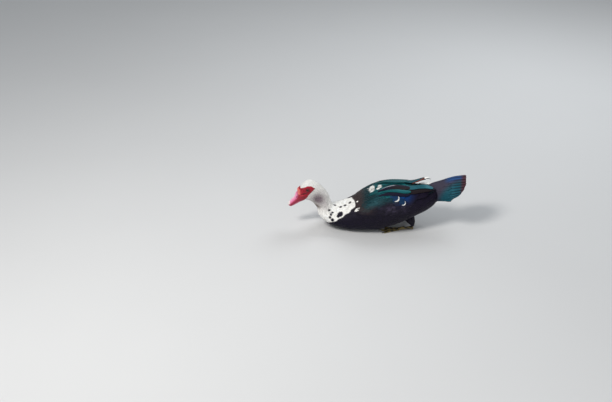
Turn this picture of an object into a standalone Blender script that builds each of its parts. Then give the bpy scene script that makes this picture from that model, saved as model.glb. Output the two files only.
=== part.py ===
"""Muscovy drake at life size, sitting on its belly with the feet tucked under.

The bird looks along -Y, its left side is +X, up is +Z, and the origin is the middle of the flat of
the belly on the ground. Sizes in this file are millimetres, turned to metres as a mesh is made.
"""
import math

import bmesh
import bpy
import numpy as np
from mathutils import Vector

MM = 0.001

# Driving sizes
GAP = 0.3
SWELL = GAP + 0.05
RINGS_PER_SECTION = 2
BODY_SIDES = 32
GROUND = 0.0

EYE_CENTRE = (21.2, -273.0, 169.0)
EYE_RADIUS = 7.0

WING_FRONT = -78.0
WING_END = 240.0
WING_THICKNESS = 7.5
WING_SINK = 10.6
WING_TIP_DEPTH = 4.6
WING_SPLIT = 0.70
WING_STAND_OFF = 10.0
FAR_TIP_LIFT = 15.0
WING_COLUMNS = 10
WING_ARM_RINGS = 13
WING_TIP_RINGS = 8
# The wing's edges as degrees round the body: at the shoulder, the gain towards the middle of the
# back, and the gain towards the tip. A wing's outward direction runs from a hub line in the body.
WING_TOP_EDGE = (66.0, 20.0, -12.0)
WING_LOW_EDGE = (8.0, 14.0, 22.0)
WING_HUB_HEIGHT = 95.0
WING_HUB_RISE = 30.0

TAIL_ROOT = 206.0
TAIL_END = 364.0
TAIL_ROOT_HALF_WIDTH = 30.0
TAIL_HALF_WIDTH = 76.0
TAIL_FAN = 0.93
TAIL_ROUNDING = 0.30
TAIL_RIDGE = 163.0
TAIL_RISE = 61.0
TAIL_ARCH = 15.0
TAIL_DROP = 63.0
TAIL_ARCH_DROP = 7.0
TAIL_COVERTS = 26.0
TAIL_THICKNESS = 4.5
TAIL_THINNING = 1.5
TAIL_ROWS = 13

HEEL = (46.0, 100.0)
FOOT_TURN = math.radians(6.0)
SHANK_LENGTH = 56.0
TOE_BREADTH = 7.5
TOE_HEIGHT = 6.6
TOE_TAPER = 2.4
WEB_THICKNESS = 2.2
WEB_HOLLOW = 9.0
WEB_MARGIN = 0.07
HEEL_PAD = 5.0
CLAW_LENGTH = 11.0
HIND_CLAW_SIZE = 0.7
# The front toes: the direction from straight ahead in degrees, outward positive, and the length.
TOES = {"inner": (-19.0, 60.0), "middle": (0.0, 76.0), "outer": (18.0, 70.0)}

# Each cross-section of the body: where its upper edge and its lower edge lie in the side view
# (y, z), its half-width, how far up its widest place is, and how square it is (2 is an ellipse).
SECTIONS = {
    "stern": ((258, 157), (255, 136), 16, 0.50, 2.0),
    "tail_root": ((247, 170), (240, 102), 43, 0.50, 2.0),
    "vent": ((215, 173), (207, 75), 61, 0.55, 2.1),
    "rump": ((170, 174), (167, 58), 77, 0.50, 2.2),
    "hips": ((120, 178), (120, 37), 93, 0.48, 2.3),
    "loin": ((60, 178), (60, 13), 100, 0.48, 2.35),
    "waist": ((0, 165), (0, -2), 101, 0.49, 2.35),
    "shoulder": ((-60, 132), (-60, -3), 95, 0.50, 2.3),
    "breast": ((-108, 103), (-118, 0), 84, 0.52, 2.25),
    "crop": ((-146, 90), (-186, 18), 68, 0.50, 2.15),
    "neck_root": ((-168, 91), (-228, 50), 51, 0.50, 2.05),
    "neck_low": ((-181, 112), (-235, 78), 38, 0.50, 2.0),
    "neck_high": ((-190, 140), (-241, 89), 34, 0.50, 2.0),
    "nape": ((-211, 169), (-247, 97), 31, 0.52, 2.0),
    "crown_back": ((-236, 191), (-254, 105), 29.5, 0.55, 2.0),
    "crown": ((-264, 203), (-264, 112), 28, 0.56, 2.05),
    "eye": ((-286, 196), (-276, 116), 24.5, 0.56, 2.1),
    "brow": ((-301, 181), (-288, 116), 20.5, 0.55, 2.15),
    "face": ((-311, 165), (-299, 117), 16.5, 0.52, 2.2),
    "face_end": ((-316, 150), (-308, 126), 10, 0.50, 2.1),
}

# Each cross-section of the bill: its top, mouth and bottom lines in the side view, and half-width.
BILL = {
    "root": ((-303, 162), (-290, 130), (-286, 115), 15.0),
    "base": ((-321, 148), (-308, 122), (-304, 107), 14.6),
    "bridge": ((-328, 130), (-322, 112), (-318, 98), 12.8),
    "spoon": ((-340, 116), (-335, 101.5), (-331, 91), 13.0),
    "shovel": ((-347, 108), (-343, 95.5), (-339, 86.5), 11.6),
    "lip": ((-351.5, 102), (-349, 91.5), (-346, 86), 7.6),
    "point": ((-353.5, 95), (-352.5, 90.5), (-350, 88.5), 3.0),
}
NAIL_STARTS = (-341.0, 107.0)
NAIL_AXIS = (-0.78, -0.62)

# The two planes that part trunk, neck and head: a point (y, z) and the direction to the head.
NECK_STARTS = ((-178.0, 70.0), (-0.80, 0.60))
HEAD_STARTS = ((-222.0, 131.0), (-0.62, 0.78))


def clear_scene():
    for thing in list(bpy.data.objects):
        bpy.data.objects.remove(thing, do_unlink=True)


def material(name, colour, roughness):
    """A plain Principled finish: colour is linear red, green, blue."""
    finish = bpy.data.materials.new(name)
    finish.use_nodes = True
    shader = finish.node_tree.nodes["Principled BSDF"]
    shader.inputs["Base Color"].default_value = (*colour, 1.0)
    shader.inputs["Roughness"].default_value = roughness
    shader.inputs["Metallic"].default_value = 0.0
    finish.diffuse_color = (*colour, 1.0)
    return finish


def add_object(name, form, finish=None, cutter=False):
    """Turn a bmesh in millimetres into an object in metres, smooth shaded."""
    bmesh.ops.scale(form, vec=(MM, MM, MM), verts=form.verts)
    bmesh.ops.recalc_face_normals(form, faces=form.faces)
    mesh = bpy.data.meshes.new(name)
    form.to_mesh(mesh)
    form.free()
    mesh.shade_smooth()
    thing = bpy.data.objects.new(name, mesh)
    bpy.context.collection.objects.link(thing)
    if finish:
        mesh.materials.append(finish)
    if cutter:
        thing.hide_render = True
        thing.display_type = "WIRE"
    return thing


def loft(rings):
    """Skin closed rings of points, shape (rings, points, 3), and close both ends.

    An end is closed by rungs from each point to the one across the ring, which also suits a thin
    crescent, where a fan to the middle would leave it.
    """
    form = bmesh.new()
    rows = [[form.verts.new(point) for point in ring] for ring in rings]
    count = len(rows[0])
    for row, following in zip(rows, rows[1:]):
        for i in range(count):
            j = (i + 1) % count
            form.faces.new((row[i], row[j], following[j], following[i]))
    for row in (rows[0], rows[-1]):
        for i in range(count // 2 - 1):
            form.faces.new((row[i], row[i + 1], row[count - 2 - i], row[count - 1 - i]))
    bmesh.ops.recalc_face_normals(form, faces=form.faces)
    return form


def swollen(form, by):
    """A copy of a closed form with every point moved out along its normal."""
    copy = form.copy()
    copy.normal_update()
    moves = [vert.normal * by for vert in copy.verts]
    for vert, move in zip(copy.verts, moves):
        vert.co += move
    return copy


def part_off(form, point, direction, keep_front):
    """Cut a closed form with a plane in the side view, half a gap clear of it, and cap the cut."""
    normal = Vector((0.0, *direction)).normalized()
    side = 1.0 if keep_front else -1.0
    place = Vector((0.0, *point)) + normal * (side * GAP / 2)
    geometry = list(form.verts) + list(form.edges) + list(form.faces)
    bmesh.ops.bisect_plane(form, geom=geometry, dist=1e-4, plane_co=place, plane_no=normal * side,
                           clear_inner=True)
    rim = [edge for edge in form.edges if edge.is_boundary]
    bmesh.ops.holes_fill(form, edges=rim)
    return form


def cut_away(thing, cutter):
    """Take a hidden cutter's space out of an object."""
    cut = thing.modifiers.new("clear_" + cutter.name, "BOOLEAN")
    cut.operation = "DIFFERENCE"
    cut.solver = "EXACT"
    cut.object = cutter


def smooth_curve(known, values, wanted):
    """A smooth cubic through rows of values, with slopes from their neighbours."""
    slopes = np.gradient(values, known, axis=0)
    left = np.clip(np.searchsorted(known, wanted) - 1, 0, len(known) - 2)
    width = (known[left + 1] - known[left])[:, None]
    t = (wanted[:, None] - known[left][:, None]) / width
    rise = 3 * t**2 - 2 * t**3
    return ((1 - rise) * values[left] + rise * values[left + 1]
            + (t**3 - 2 * t**2 + t) * width * slopes[left]
            + (t**3 - t**2) * width * slopes[left + 1])


def ease(value, start, end):
    """A smooth step from 0 at start to 1 at end."""
    t = np.clip((value - start) / (end - start), 0.0, 1.0)
    return t * t * (3 - 2 * t)


def body_table():
    """Rows of upper y, upper z, lower y, lower z, half-width, widest place and squareness."""
    rows = [[*upper, *lower, half, widest, square]
            for upper, lower, half, widest, square in SECTIONS.values()]
    return np.array(rows, dtype=float)


def body_points(along, around):
    """Points of the body's surface: along counts sections from the stern, around is an angle.

    Each section is a superellipse whose upright axis runs from the lower to the upper edge, so it
    leans with the neck. Angle 0 is the left flank and a quarter turn is the back.
    """
    table = body_table()
    rows = smooth_curve(np.arange(len(table), dtype=float), table, np.atleast_1d(along).astype(float))
    upper_y, upper_z, lower_y, lower_z, half, widest, square = rows.T[:, :, None]
    cosine, sine = np.cos(around), np.sin(around)
    across = half * np.sign(cosine) * np.abs(cosine) ** (2 / square)
    reach = np.sign(sine) * np.abs(sine) ** (2 / square)
    up = np.where(sine > 0, 1 - widest, widest) * reach
    y = lower_y + (upper_y - lower_y) * (widest + up)
    z = lower_z + (upper_z - lower_z) * (widest + up)
    return np.stack([across, y, z], axis=-1)


def section_at(y):
    """The section count whose middle lies at y, for the straight trunk."""
    table = body_table()
    middles = (table[:, 0] + table[:, 2]) / 2
    return np.interp(-np.asarray(y, dtype=float), -middles, np.arange(len(middles)))


def whole_body():
    """Trunk, neck and head as one closed form, flattened where the belly meets the ground."""
    along = np.linspace(0, len(SECTIONS) - 1, RINGS_PER_SECTION * (len(SECTIONS) - 1) + 1)
    around = np.linspace(0, math.tau, BODY_SIDES, endpoint=False)
    rings = body_points(along, around[None, :])
    rings[..., 2] = np.maximum(rings[..., 2], GROUND)
    return loft(rings)


def make_body(feather_dark, feather_white):
    """Part the whole body into trunk, neck and head with two thin cuts."""
    whole = whole_body()
    trunk = part_off(whole.copy(), *NECK_STARTS, keep_front=False)
    neck = part_off(whole.copy(), *NECK_STARTS, keep_front=True)
    neck = part_off(neck, *HEAD_STARTS, keep_front=False)
    head = part_off(whole.copy(), *HEAD_STARTS, keep_front=True)
    clearance = add_object("body_clearance", swollen(whole, SWELL), cutter=True)
    whole.free()
    add_object("trunk", trunk, feather_dark)
    add_object("neck", neck, feather_white)
    return add_object("head", head, feather_white), clearance


def wing_points(side, start, end):
    """Crescent sections of a folded wing, from start to end of its length (0 to 1).

    The outer skin stands off the body by the wing's thickness and runs on behind it, where the
    rump falls away under the long feathers. The inner skin sinks into the body, to be cut back.
    """
    s = np.linspace(start, end, WING_ARM_RINGS if start == 0 else WING_TIP_RINGS)[:, None]
    t = np.linspace(0, 1, WING_COLUMNS)[None, :]
    y = WING_FRONT + (WING_END - WING_FRONT) * s
    along = section_at(y[:, 0])
    nose = 1 - (1 - np.clip(s / 0.16, 0, 1)) ** 2
    taper = 1 - ease(s, 0.86, 1.0) * 0.55
    fullness = np.sqrt(np.clip(nose, 0.02, 1)) * taper
    top_start, top_middle, top_tip = np.radians(WING_TOP_EDGE)
    low_start, low_middle, low_tip = np.radians(WING_LOW_EDGE)
    top = top_start + top_middle * ease(s, 0.05, 0.55) + top_tip * ease(s, 0.75, 1)
    low = low_start + low_middle * ease(s, 0.55, 0.8) + low_tip * ease(s, 0.7, 1.0)
    middle, spread = (top + low) / 2, (top - low) / 2
    angle = middle + spread * fullness * (1 - 2 * t)
    stand_off = WING_STAND_OFF * ease(s, 0.62, 0.9)
    crown = WING_THICKNESS * (1 - (1 - 2 * t) ** 4) * fullness + stand_off
    bed = body_points(along, angle)
    hub_height = np.full_like(angle, WING_HUB_HEIGHT) + WING_HUB_RISE * s
    hub = np.stack([np.zeros_like(angle), bed[..., 1], hub_height], axis=-1)
    outward = bed - hub
    outward[..., 1] = 0
    outward /= np.linalg.norm(outward, axis=-1, keepdims=True)
    outer = bed + outward * crown[..., None]
    depth = WING_SINK + (WING_TIP_DEPTH - WING_SINK) * ease(s, 0.55, 0.85)
    inner = outer - outward * depth[..., None]
    rings = np.concatenate([outer, inner[:, ::-1]], axis=1)
    rings[..., 0] *= side
    if side < 0:
        rings[..., 2] += FAR_TIP_LIFT * ease(s, 0.68, 0.95)
    return rings


def make_wings(finish, clearance):
    """Two folded wings, each in an arm part and a tip of long flight feathers."""
    split_gap = GAP / (WING_END - WING_FRONT) / 2
    for side, name in ((1, "left"), (-1, "right")):
        arm = add_object("wing_" + name, loft(wing_points(side, 0, WING_SPLIT - split_gap)), finish)
        tip = add_object("wing_tip_" + name, loft(wing_points(side, WING_SPLIT + split_gap, 1)), finish)
        cut_away(arm, clearance)
        cut_away(tip, clearance)


def tail_rings():
    """Crosswise sections of the fanned tail, roof-shaped, rising to the rear with a round end."""
    s = np.linspace(0, 1, TAIL_ROWS)[:, None]
    a = np.linspace(-1, 1, TAIL_ROWS)[None, :]
    half = TAIL_ROOT_HALF_WIDTH + (TAIL_HALF_WIDTH - TAIL_ROOT_HALF_WIDTH) * ease(s, 0.0, 0.75)
    round_end = TAIL_ROUNDING * np.abs(a) ** 2.4
    y = TAIL_ROOT + (TAIL_END - TAIL_ROOT) * s * (1 - round_end * ease(s, 0.3, 1.0))
    ridge = TAIL_RIDGE + TAIL_RISE * s + TAIL_ARCH * np.sin(math.pi * s)
    z = ridge - (TAIL_DROP + TAIL_ARCH_DROP * np.sin(math.pi * s)) * np.abs(a) ** 1.25
    fan = math.pi / 2 * TAIL_FAN
    x = half * np.sin(a * fan) / math.sin(fan)
    thickness = TAIL_COVERTS * (1 - ease(s, 0, 0.55)) + TAIL_THICKNESS - TAIL_THINNING * s
    thickness = thickness * (1 - 0.75 * np.abs(a) ** 6)
    upper = np.stack(np.broadcast_arrays(x, y, z), axis=-1)
    lower = np.stack(np.broadcast_arrays(x * 0.985, y, z - thickness), axis=-1)
    return np.concatenate([upper, lower[:, ::-1]], axis=1)


def make_tail(finish, clearance):
    tail = add_object("tail", loft(tail_rings()), finish)
    cut_away(tail, clearance)


def bill_rings(upper):
    """D-shaped sections: a dome over the flat mouth line, or a shallow tray under it."""
    rows = np.array([[*top, *mouth, *bottom, half] for top, mouth, bottom, half in BILL.values()], float)
    known = np.arange(len(rows), dtype=float)
    rows = smooth_curve(known, rows, np.linspace(0, known[-1], 13))
    top, mouth, bottom, half = rows[:, 0:2], rows[:, 2:4], rows[:, 4:6], rows[:, 6]
    outer = top if upper else bottom
    direction = outer - mouth
    length = np.linalg.norm(direction, axis=1, keepdims=True)
    start = mouth + direction / length * GAP / 2
    angle = np.linspace(0, math.pi, 10)[None, :]
    rise = np.abs(np.sin(angle)) ** (0.8 if upper else 0.7)
    lip = 1.0 if upper else 0.86
    across = half[:, None] * lip * np.sign(np.cos(angle)) * np.abs(np.cos(angle)) ** 0.75
    side = start[:, None, :] + (outer - start)[:, None, :] * rise[..., None]
    return np.concatenate([across[..., None], side], axis=-1)


def make_bill(horn, pale, clearance):
    """Upper and lower mandible, and the hooked nail that tips the upper one."""
    upper = loft(bill_rings(True))
    body = add_object("bill_upper", part_off(upper.copy(), NAIL_STARTS, NAIL_AXIS, keep_front=False), horn)
    add_object("bill_nail", part_off(upper, NAIL_STARTS, NAIL_AXIS, keep_front=True), pale)
    lower = add_object("bill_lower", loft(bill_rings(False)), horn)
    cut_away(body, clearance)
    cut_away(lower, clearance)


def ball(centre, radius):
    form = bmesh.new()
    bmesh.ops.create_uvsphere(form, u_segments=16, v_segments=10, radius=radius)
    bmesh.ops.translate(form, vec=centre, verts=form.verts)
    return form


def make_eyes(finish, head):
    """Eyeballs set in round sockets in the head."""
    for side, name in ((1, "left"), (-1, "right")):
        centre = (EYE_CENTRE[0] * side, *EYE_CENTRE[1:])
        add_object("eye_" + name, ball(centre, EYE_RADIUS), finish)
        socket = add_object("socket_" + name, ball(centre, EYE_RADIUS + SWELL), cutter=True)
        cut_away(head, socket)


def place_foot(points, side):
    """Turn foot points (heel at the origin, toes along -Y) outward and set them at the heel."""
    cosine, sine = math.cos(FOOT_TURN), math.sin(FOOT_TURN)
    placed = np.array(points, dtype=float)
    x, y = placed[..., 0].copy(), placed[..., 1].copy()
    placed[..., 0] = side * (HEEL[0] + x * cosine - y * sine)
    placed[..., 1] = HEEL[1] + x * sine + y * cosine
    return placed


def foot_rings():
    """Arcs across the foot, heel to front: three toes ridged up from the web between them."""
    directions = np.radians([angle for angle, _ in TOES.values()])
    lengths = np.array([length for _, length in TOES.values()])
    a = np.linspace(directions[0] - WEB_MARGIN, directions[-1] + WEB_MARGIN, 25)[None, :]
    s = np.linspace(0.03, 1, 7)[:, None]
    reach = np.interp(a, directions, lengths)
    gap_middles = (directions[:-1] + directions[1:]) / 2
    for middle, width in zip(gap_middles, np.diff(directions)):
        reach = reach - WEB_HOLLOW * np.exp(-((a - middle) / (width * 0.30)) ** 2)
    radius = reach * s
    height = np.full_like(radius, WEB_THICKNESS)
    for direction in directions:
        off = radius * np.abs(a - direction)
        toe = (TOE_HEIGHT - TOE_TAPER * s) * np.sqrt(np.clip(1 - (off / (TOE_BREADTH / 2)) ** 2, 0, 1))
        height = np.maximum(height, toe)
    heel_pad = HEEL_PAD * (a / directions[-1]) * (1 - s) ** 2
    x, y = radius * np.sin(a) + heel_pad, -radius * np.cos(a)
    upper = np.stack([x, y, height], axis=-1)
    lower = np.stack([x, y, np.zeros_like(height)], axis=-1)
    return np.concatenate([upper, lower[:, ::-1]], axis=1)


def tube_rings(path, radii, sides=12, flat=1.0):
    """Rings along a path, each square to it, with a half-width and a height radius of flat times it."""
    path, radii = np.array(path, float), np.array(radii, float)
    heading = np.gradient(path, axis=0)
    heading /= np.linalg.norm(heading, axis=1, keepdims=True)
    level = np.cross(heading, (0.0, 0.0, 1.0))
    level /= np.linalg.norm(level, axis=1, keepdims=True)
    upright = np.cross(level, heading)
    angle = np.linspace(0, math.tau, sides, endpoint=False)[None, :, None]
    ring = np.cos(angle) * level[:, None, :] + flat * np.sin(angle) * upright[:, None, :]
    return path[:, None, :] + ring * radii[:, None, None]


def claw_rings(start, heading, size):
    """A small hooked cone from the end of a toe: start and heading are (x, y) in the foot."""
    steps = np.array([GAP, 0.35 * CLAW_LENGTH, 0.75 * CLAW_LENGTH, CLAW_LENGTH]) * size
    heights = (2.6, 3.2, 2.6, 1.2)
    path = [(start[0] + step * heading[0], start[1] + step * heading[1], z)
            for step, z in zip(steps, heights)]
    return tube_rings(path, (2.2, 2.1, 1.4, 0.5), sides=8)


def make_legs(scaly, feather, horn, clearance):
    """Feet flat on the ground, shanks laid back along it, and feathered thighs up into the flank."""
    for side, name in ((1, "left"), (-1, "right")):

        def add_leg_piece(piece, rings, finish):
            placed = place_foot(rings, side)
            placed[..., 2] = np.maximum(placed[..., 2], GROUND)
            return add_object(f"{piece}_{name}", loft(placed), finish)

        add_leg_piece("foot", foot_rings(), scaly)
        hock = SHANK_LENGTH
        shank = [(0, -1.2, 4.4), (0, 8, 6.2), (0, 28, 6.0), (0, hock - 12, 6.6), (0, hock, 8.2)]
        shank_radii = (4.4, 6.4, 5.4, 6.4, 7.2)
        add_leg_piece("shank", tube_rings(shank, shank_radii), scaly)
        hind_toe = [(-7.6, 3, 3.4), (-9.6, 7, 3.6), (-13.0, 13, 3.0), (-15.2, 17, 2.6)]
        hind_toe_radii = (2.6, 3.2, 2.8, 2.4)
        add_leg_piece("hind_toe", tube_rings(hind_toe, hind_toe_radii, sides=8), scaly)
        hind_tip, hind_heading = (-15.7, 17.9), (-0.48, 0.88)
        add_leg_piece("claw_hind", claw_rings(hind_tip, hind_heading, HIND_CLAW_SIZE), horn)
        thigh = [(0, hock - 3, 15.8), (0, hock - 4, 22), (-1, hock - 7, 32), (-3, hock - 14, 47),
                 (-4, hock - 24, 62)]
        thigh_radii = (6, 9, 14, 20, 24)
        leg = add_leg_piece("thigh", tube_rings(thigh, thigh_radii), feather)
        cut_away(leg, clearance)
        for toe, (angle, length) in TOES.items():
            heading = (math.sin(math.radians(angle)), -math.cos(math.radians(angle)))
            tip = (length * heading[0], length * heading[1])
            add_leg_piece("claw_" + toe, claw_rings(tip, heading, 1.0), horn)


clear_scene()
dark = material("dark_feathers", (0.012, 0.018, 0.022), 0.5)
white = material("white_feathers", (0.82, 0.81, 0.79), 0.75)
flight = material("flight_feathers", (0.010, 0.045, 0.042), 0.4)
rose = material("bill_horn", (0.72, 0.22, 0.30), 0.45)
pale = material("nail_horn", (0.80, 0.76, 0.72), 0.4)
scaly = material("scaly_skin", (0.20, 0.17, 0.11), 0.55)
claw_horn = material("claw_horn", (0.06, 0.05, 0.045), 0.45)
glass = material("eye", (0.05, 0.02, 0.01), 0.08)

head, body_clearance = make_body(dark, white)
make_wings(flight, body_clearance)
make_tail(flight, body_clearance)
make_bill(rose, pale, body_clearance)
make_eyes(glass, head)
make_legs(scaly, dark, claw_horn, body_clearance)
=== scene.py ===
import math

import bpy
import numpy as np
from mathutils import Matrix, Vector


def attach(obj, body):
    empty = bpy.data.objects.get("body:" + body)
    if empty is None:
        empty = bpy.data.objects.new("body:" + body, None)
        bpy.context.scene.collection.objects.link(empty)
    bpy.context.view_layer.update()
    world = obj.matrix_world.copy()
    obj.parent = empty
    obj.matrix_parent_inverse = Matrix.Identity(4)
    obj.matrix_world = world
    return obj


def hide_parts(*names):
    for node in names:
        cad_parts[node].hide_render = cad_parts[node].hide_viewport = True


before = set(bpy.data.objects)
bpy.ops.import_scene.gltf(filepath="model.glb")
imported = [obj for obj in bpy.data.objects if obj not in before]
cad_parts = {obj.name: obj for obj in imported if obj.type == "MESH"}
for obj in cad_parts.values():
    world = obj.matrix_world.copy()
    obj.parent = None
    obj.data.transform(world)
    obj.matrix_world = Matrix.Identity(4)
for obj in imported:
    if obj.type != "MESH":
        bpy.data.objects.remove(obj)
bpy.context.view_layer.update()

# The body under its feathers
# A drake's trunk, neck and head are one muscled form, deepest at the breast and flat where the belly
# rests. Each section gives its upper and lower edge (y, z) in the side view in mm, its half-width,
# how far up its widest place is, and how square it is (2 is an ellipse).
SECTIONS = {
    "stern": ((258, 157), (255, 136), 16, 0.50, 2.0),
    "tail_root": ((247, 170), (240, 102), 43, 0.50, 2.0),
    "vent": ((215, 173), (207, 75), 61, 0.55, 2.1),
    "rump": ((170, 174), (167, 58), 77, 0.50, 2.2),
    "hips": ((120, 178), (120, 37), 93, 0.48, 2.3),
    "loin": ((60, 178), (60, 13), 100, 0.48, 2.35),
    "waist": ((0, 165), (0, -2), 101, 0.49, 2.35),
    "shoulder": ((-60, 132), (-60, -3), 95, 0.50, 2.3),
    "breast": ((-108, 103), (-118, 0), 84, 0.52, 2.25),
    "crop": ((-146, 90), (-186, 18), 68, 0.50, 2.15),
    "neck_root": ((-168, 91), (-228, 50), 51, 0.50, 2.05),
    "neck_low": ((-181, 112), (-235, 78), 38, 0.50, 2.0),
    "neck_high": ((-190, 140), (-241, 89), 34, 0.50, 2.0),
    "nape": ((-211, 169), (-247, 97), 31, 0.52, 2.0),
    "crown_back": ((-236, 191), (-254, 105), 29.5, 0.55, 2.0),
    "crown": ((-264, 203), (-264, 112), 28, 0.56, 2.05),
    "eye": ((-286, 196), (-276, 116), 24.5, 0.56, 2.1),
    "brow": ((-301, 181), (-288, 116), 20.5, 0.55, 2.15),
    "face": ((-311, 165), (-299, 117), 16.5, 0.52, 2.2),
    "face_end": ((-316, 150), (-308, 126), 10, 0.50, 2.1),
}
# Lengths are in mm until they go into a mesh. The left side is at +X and the bill towards -Y.
MM = 0.001
LEFT, RIGHT = 1, -1
SIDES = {LEFT: "left", RIGHT: "right"}
ROW_STEP = 1.0
COLUMNS = 480
FINE_STEPS = 2000
BELLY_FLAT = 0.2


def smooth_curve(known, values, wanted):
    """A smooth cubic through rows of values, with slopes from their neighbours."""
    slopes = np.gradient(values, known, axis=0)
    left = np.clip(np.searchsorted(known, wanted) - 1, 0, len(known) - 2)
    width = (known[left + 1] - known[left])[:, None]
    t = (wanted[:, None] - known[left][:, None]) / width
    rise = 3 * t**2 - 2 * t**3
    return ((1 - rise) * values[left] + rise * values[left + 1]
            + (t**3 - 2 * t**2 + t) * width * slopes[left]
            + (t**3 - t**2) * width * slopes[left + 1])


def ease(value, start, end):
    """A smooth step from 0 at start to 1 at end."""
    t = np.clip((value - start) / (end - start), 0.0, 1.0)
    return t * t * (3 - 2 * t)


def unit(vectors):
    return vectors / np.maximum(np.linalg.norm(vectors, axis=-1, keepdims=True), 1e-9)


def ring_points(rows, angle):
    """Superellipse sections: across is half-width times the cosine to a power, and the sine to the
    same power goes from the lower to the upper edge. Angle 0 is the left flank, a quarter turn the back.
    """
    upper_y, upper_z, lower_y, lower_z, half, widest, square = rows.T[:, :, None]
    cosine, sine = np.cos(angle), np.sin(angle)
    across = half * np.sign(cosine) * np.abs(cosine) ** (2 / square)
    reach = np.sign(sine) * np.abs(sine) ** (2 / square)
    share = widest + np.where(sine > 0, 1 - widest, widest) * reach
    y = lower_y + (upper_y - lower_y) * share
    z = lower_z + (upper_z - lower_z) * share
    return np.stack([across, y, np.maximum(z, BELLY_FLAT)], axis=-1)


table = np.array([[*upper, *lower, *rest] for upper, lower, *rest in SECTIONS.values()], float)
section_number = np.linspace(0, len(table) - 1, FINE_STEPS)
fine_rows = smooth_curve(np.arange(len(table), dtype=float), table, section_number)
middle_line = (fine_rows[:, 0:2] + fine_rows[:, 2:4]) / 2
distance = np.concatenate([[0.0], np.cumsum(np.hypot(*np.diff(middle_line, axis=0).T))])
LENGTH = distance[-1]
even = np.arange(0, LENGTH, ROW_STEP)
even_rows = np.stack([np.interp(even, distance, column) for column in fine_rows.T], axis=1)
row_y = np.interp(even, distance, middle_line[:, 0])
section_at = {name: np.interp(k, section_number, distance) for k, name in enumerate(SECTIONS)}

# Around each section, places are counted as a share of its girth from the keel up the left flank.
degrees = np.arange(-90, 271)
rough = ring_points(even_rows, np.radians(degrees)[None, :])
girth = np.linalg.norm(np.diff(rough, axis=1), axis=-1).cumsum(axis=1)
girth = np.concatenate([np.zeros((len(even), 1)), girth], axis=1)
share_at = girth / girth[:, -1:]
shares = np.arange(COLUMNS) / COLUMNS
turn = np.radians(np.stack([np.interp(shares, row, degrees) for row in share_at]))
body_points = ring_points(even_rows, turn)

# The folded wings
# Each wing lies folded over the flank as a thin shell, from the shoulder to beside the rump. It
# lifts the plumage off the body, and its long tip stands clear of the rump.
WING_FRONT = -78.0
WING_END = 240.0
WING_NOSE = 0.16
WING_TIP_THINNING = 0.55
WING_THICKNESS = 7.5
WING_STAND_OFF = 10.0
FAR_TIP_LIFT = 15.0
# Degrees up from the flank at the wing's front, and what is added towards its middle and its tip.
WING_TOP_EDGE = (66.0, 20.0, -12.0)
WING_LOW_EDGE = (8.0, 14.0, 22.0)
# The wing stands square to a line in the body: its height at the wing's front, and its rise to the tip.
BODY_LINE = (95.0, 30.0)


def wing_outline(y):
    """At a distance y: the share s of a wing's length, the middle angle, half its spread, and how full
    the shell is."""
    s = np.clip((y - WING_FRONT) / (WING_END - WING_FRONT), 0, 1)
    nose = 1 - (1 - np.clip(s / WING_NOSE, 0, 1)) ** 2
    fullness = np.sqrt(np.clip(nose, 0.02, 1)) * (1 - ease(s, 0.86, 1.0) * WING_TIP_THINNING)
    top_start, top_middle, top_tip = np.radians(WING_TOP_EDGE)
    low_start, low_middle, low_tip = np.radians(WING_LOW_EDGE)
    top = top_start + top_middle * ease(s, 0.05, 0.55) + top_tip * ease(s, 0.75, 1)
    low = low_start + low_middle * ease(s, 0.55, 0.8) + low_tip * ease(s, 0.7, 1.0)
    return s, (top + low) / 2, (top - low) / 2 * fullness, fullness


def wing_place(y, angle):
    """Share s of a wing's length and share t down from its upper edge."""
    s, middle, spread, _ = wing_outline(y)
    near = np.where(np.cos(angle) >= 0, angle, math.pi - angle)
    return s, (1 - (near - middle) / spread) / 2


def wing_lift(points, t, inside, far, least=0.0):
    """How far a wing lifts the plumage: a flat-topped crown across it, square to a line in the body.
    The far wing's tip is lifted higher."""
    s, _, _, fullness = wing_outline(points[..., 1])
    crown = WING_THICKNESS * np.clip(1 - (1 - 2 * t) ** 4, least, 1) * fullness
    crown = crown + WING_STAND_OFF * ease(s, 0.62, 0.9) * inside
    outward = points * (1, 0, 1) - np.stack([0 * s, 0 * s, BODY_LINE[0] + BODY_LINE[1] * s], axis=-1)
    lift = unit(outward) * crown[..., None]
    lift[..., 2] += FAR_TIP_LIFT * ease(s, 0.68, 0.95) * inside * far
    return lift


def with_normals(points):
    """The grid's points with outward unit normals, square to its two directions."""
    along = np.gradient(points, axis=0)
    around = np.roll(points, -1, axis=1) - np.roll(points, 1, axis=1)
    return np.concatenate([points, unit(np.cross(around, along))], axis=-1)


BEYOND_START = (0.0, 1.0, 0.15)


def reader(grid, step=ROW_STEP):
    """A function of mm along a form and share of the way round: the weighted mean of four grid points.
    Before its start the form runs on straight backwards and a little up."""
    columns = grid.shape[1]

    def read(p, q):
        row = np.clip(p / step, 0, len(grid) - 1.001)
        column = (q % 1.0) * columns
        i, j = row.astype(int), column.astype(int) % columns
        f, g = (row - i)[..., None], (column - np.floor(column))[..., None]
        k = (j + 1) % columns
        mixed = (1 - f) * ((1 - g) * grid[i, j] + g * grid[i, k])
        mixed = mixed + f * ((1 - g) * grid[i + 1, j] + g * grid[i + 1, k])
        points = mixed[..., :3] + np.maximum(-p, 0)[..., None] * np.array(BEYOND_START)
        return points, unit(mixed[..., 3:])

    return read


body_grid = with_normals(body_points)
_, down = wing_place(body_points[..., 1], turn)
covered = ease(down, -0.06, 0.10) * (1 - ease(down, 0.90, 1.06))
coat_grid = with_normals(body_points + wing_lift(body_points, down, covered, body_points[..., 0] < 0))
on_body, on_coat = reader(body_grid), reader(coat_grid)


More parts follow.
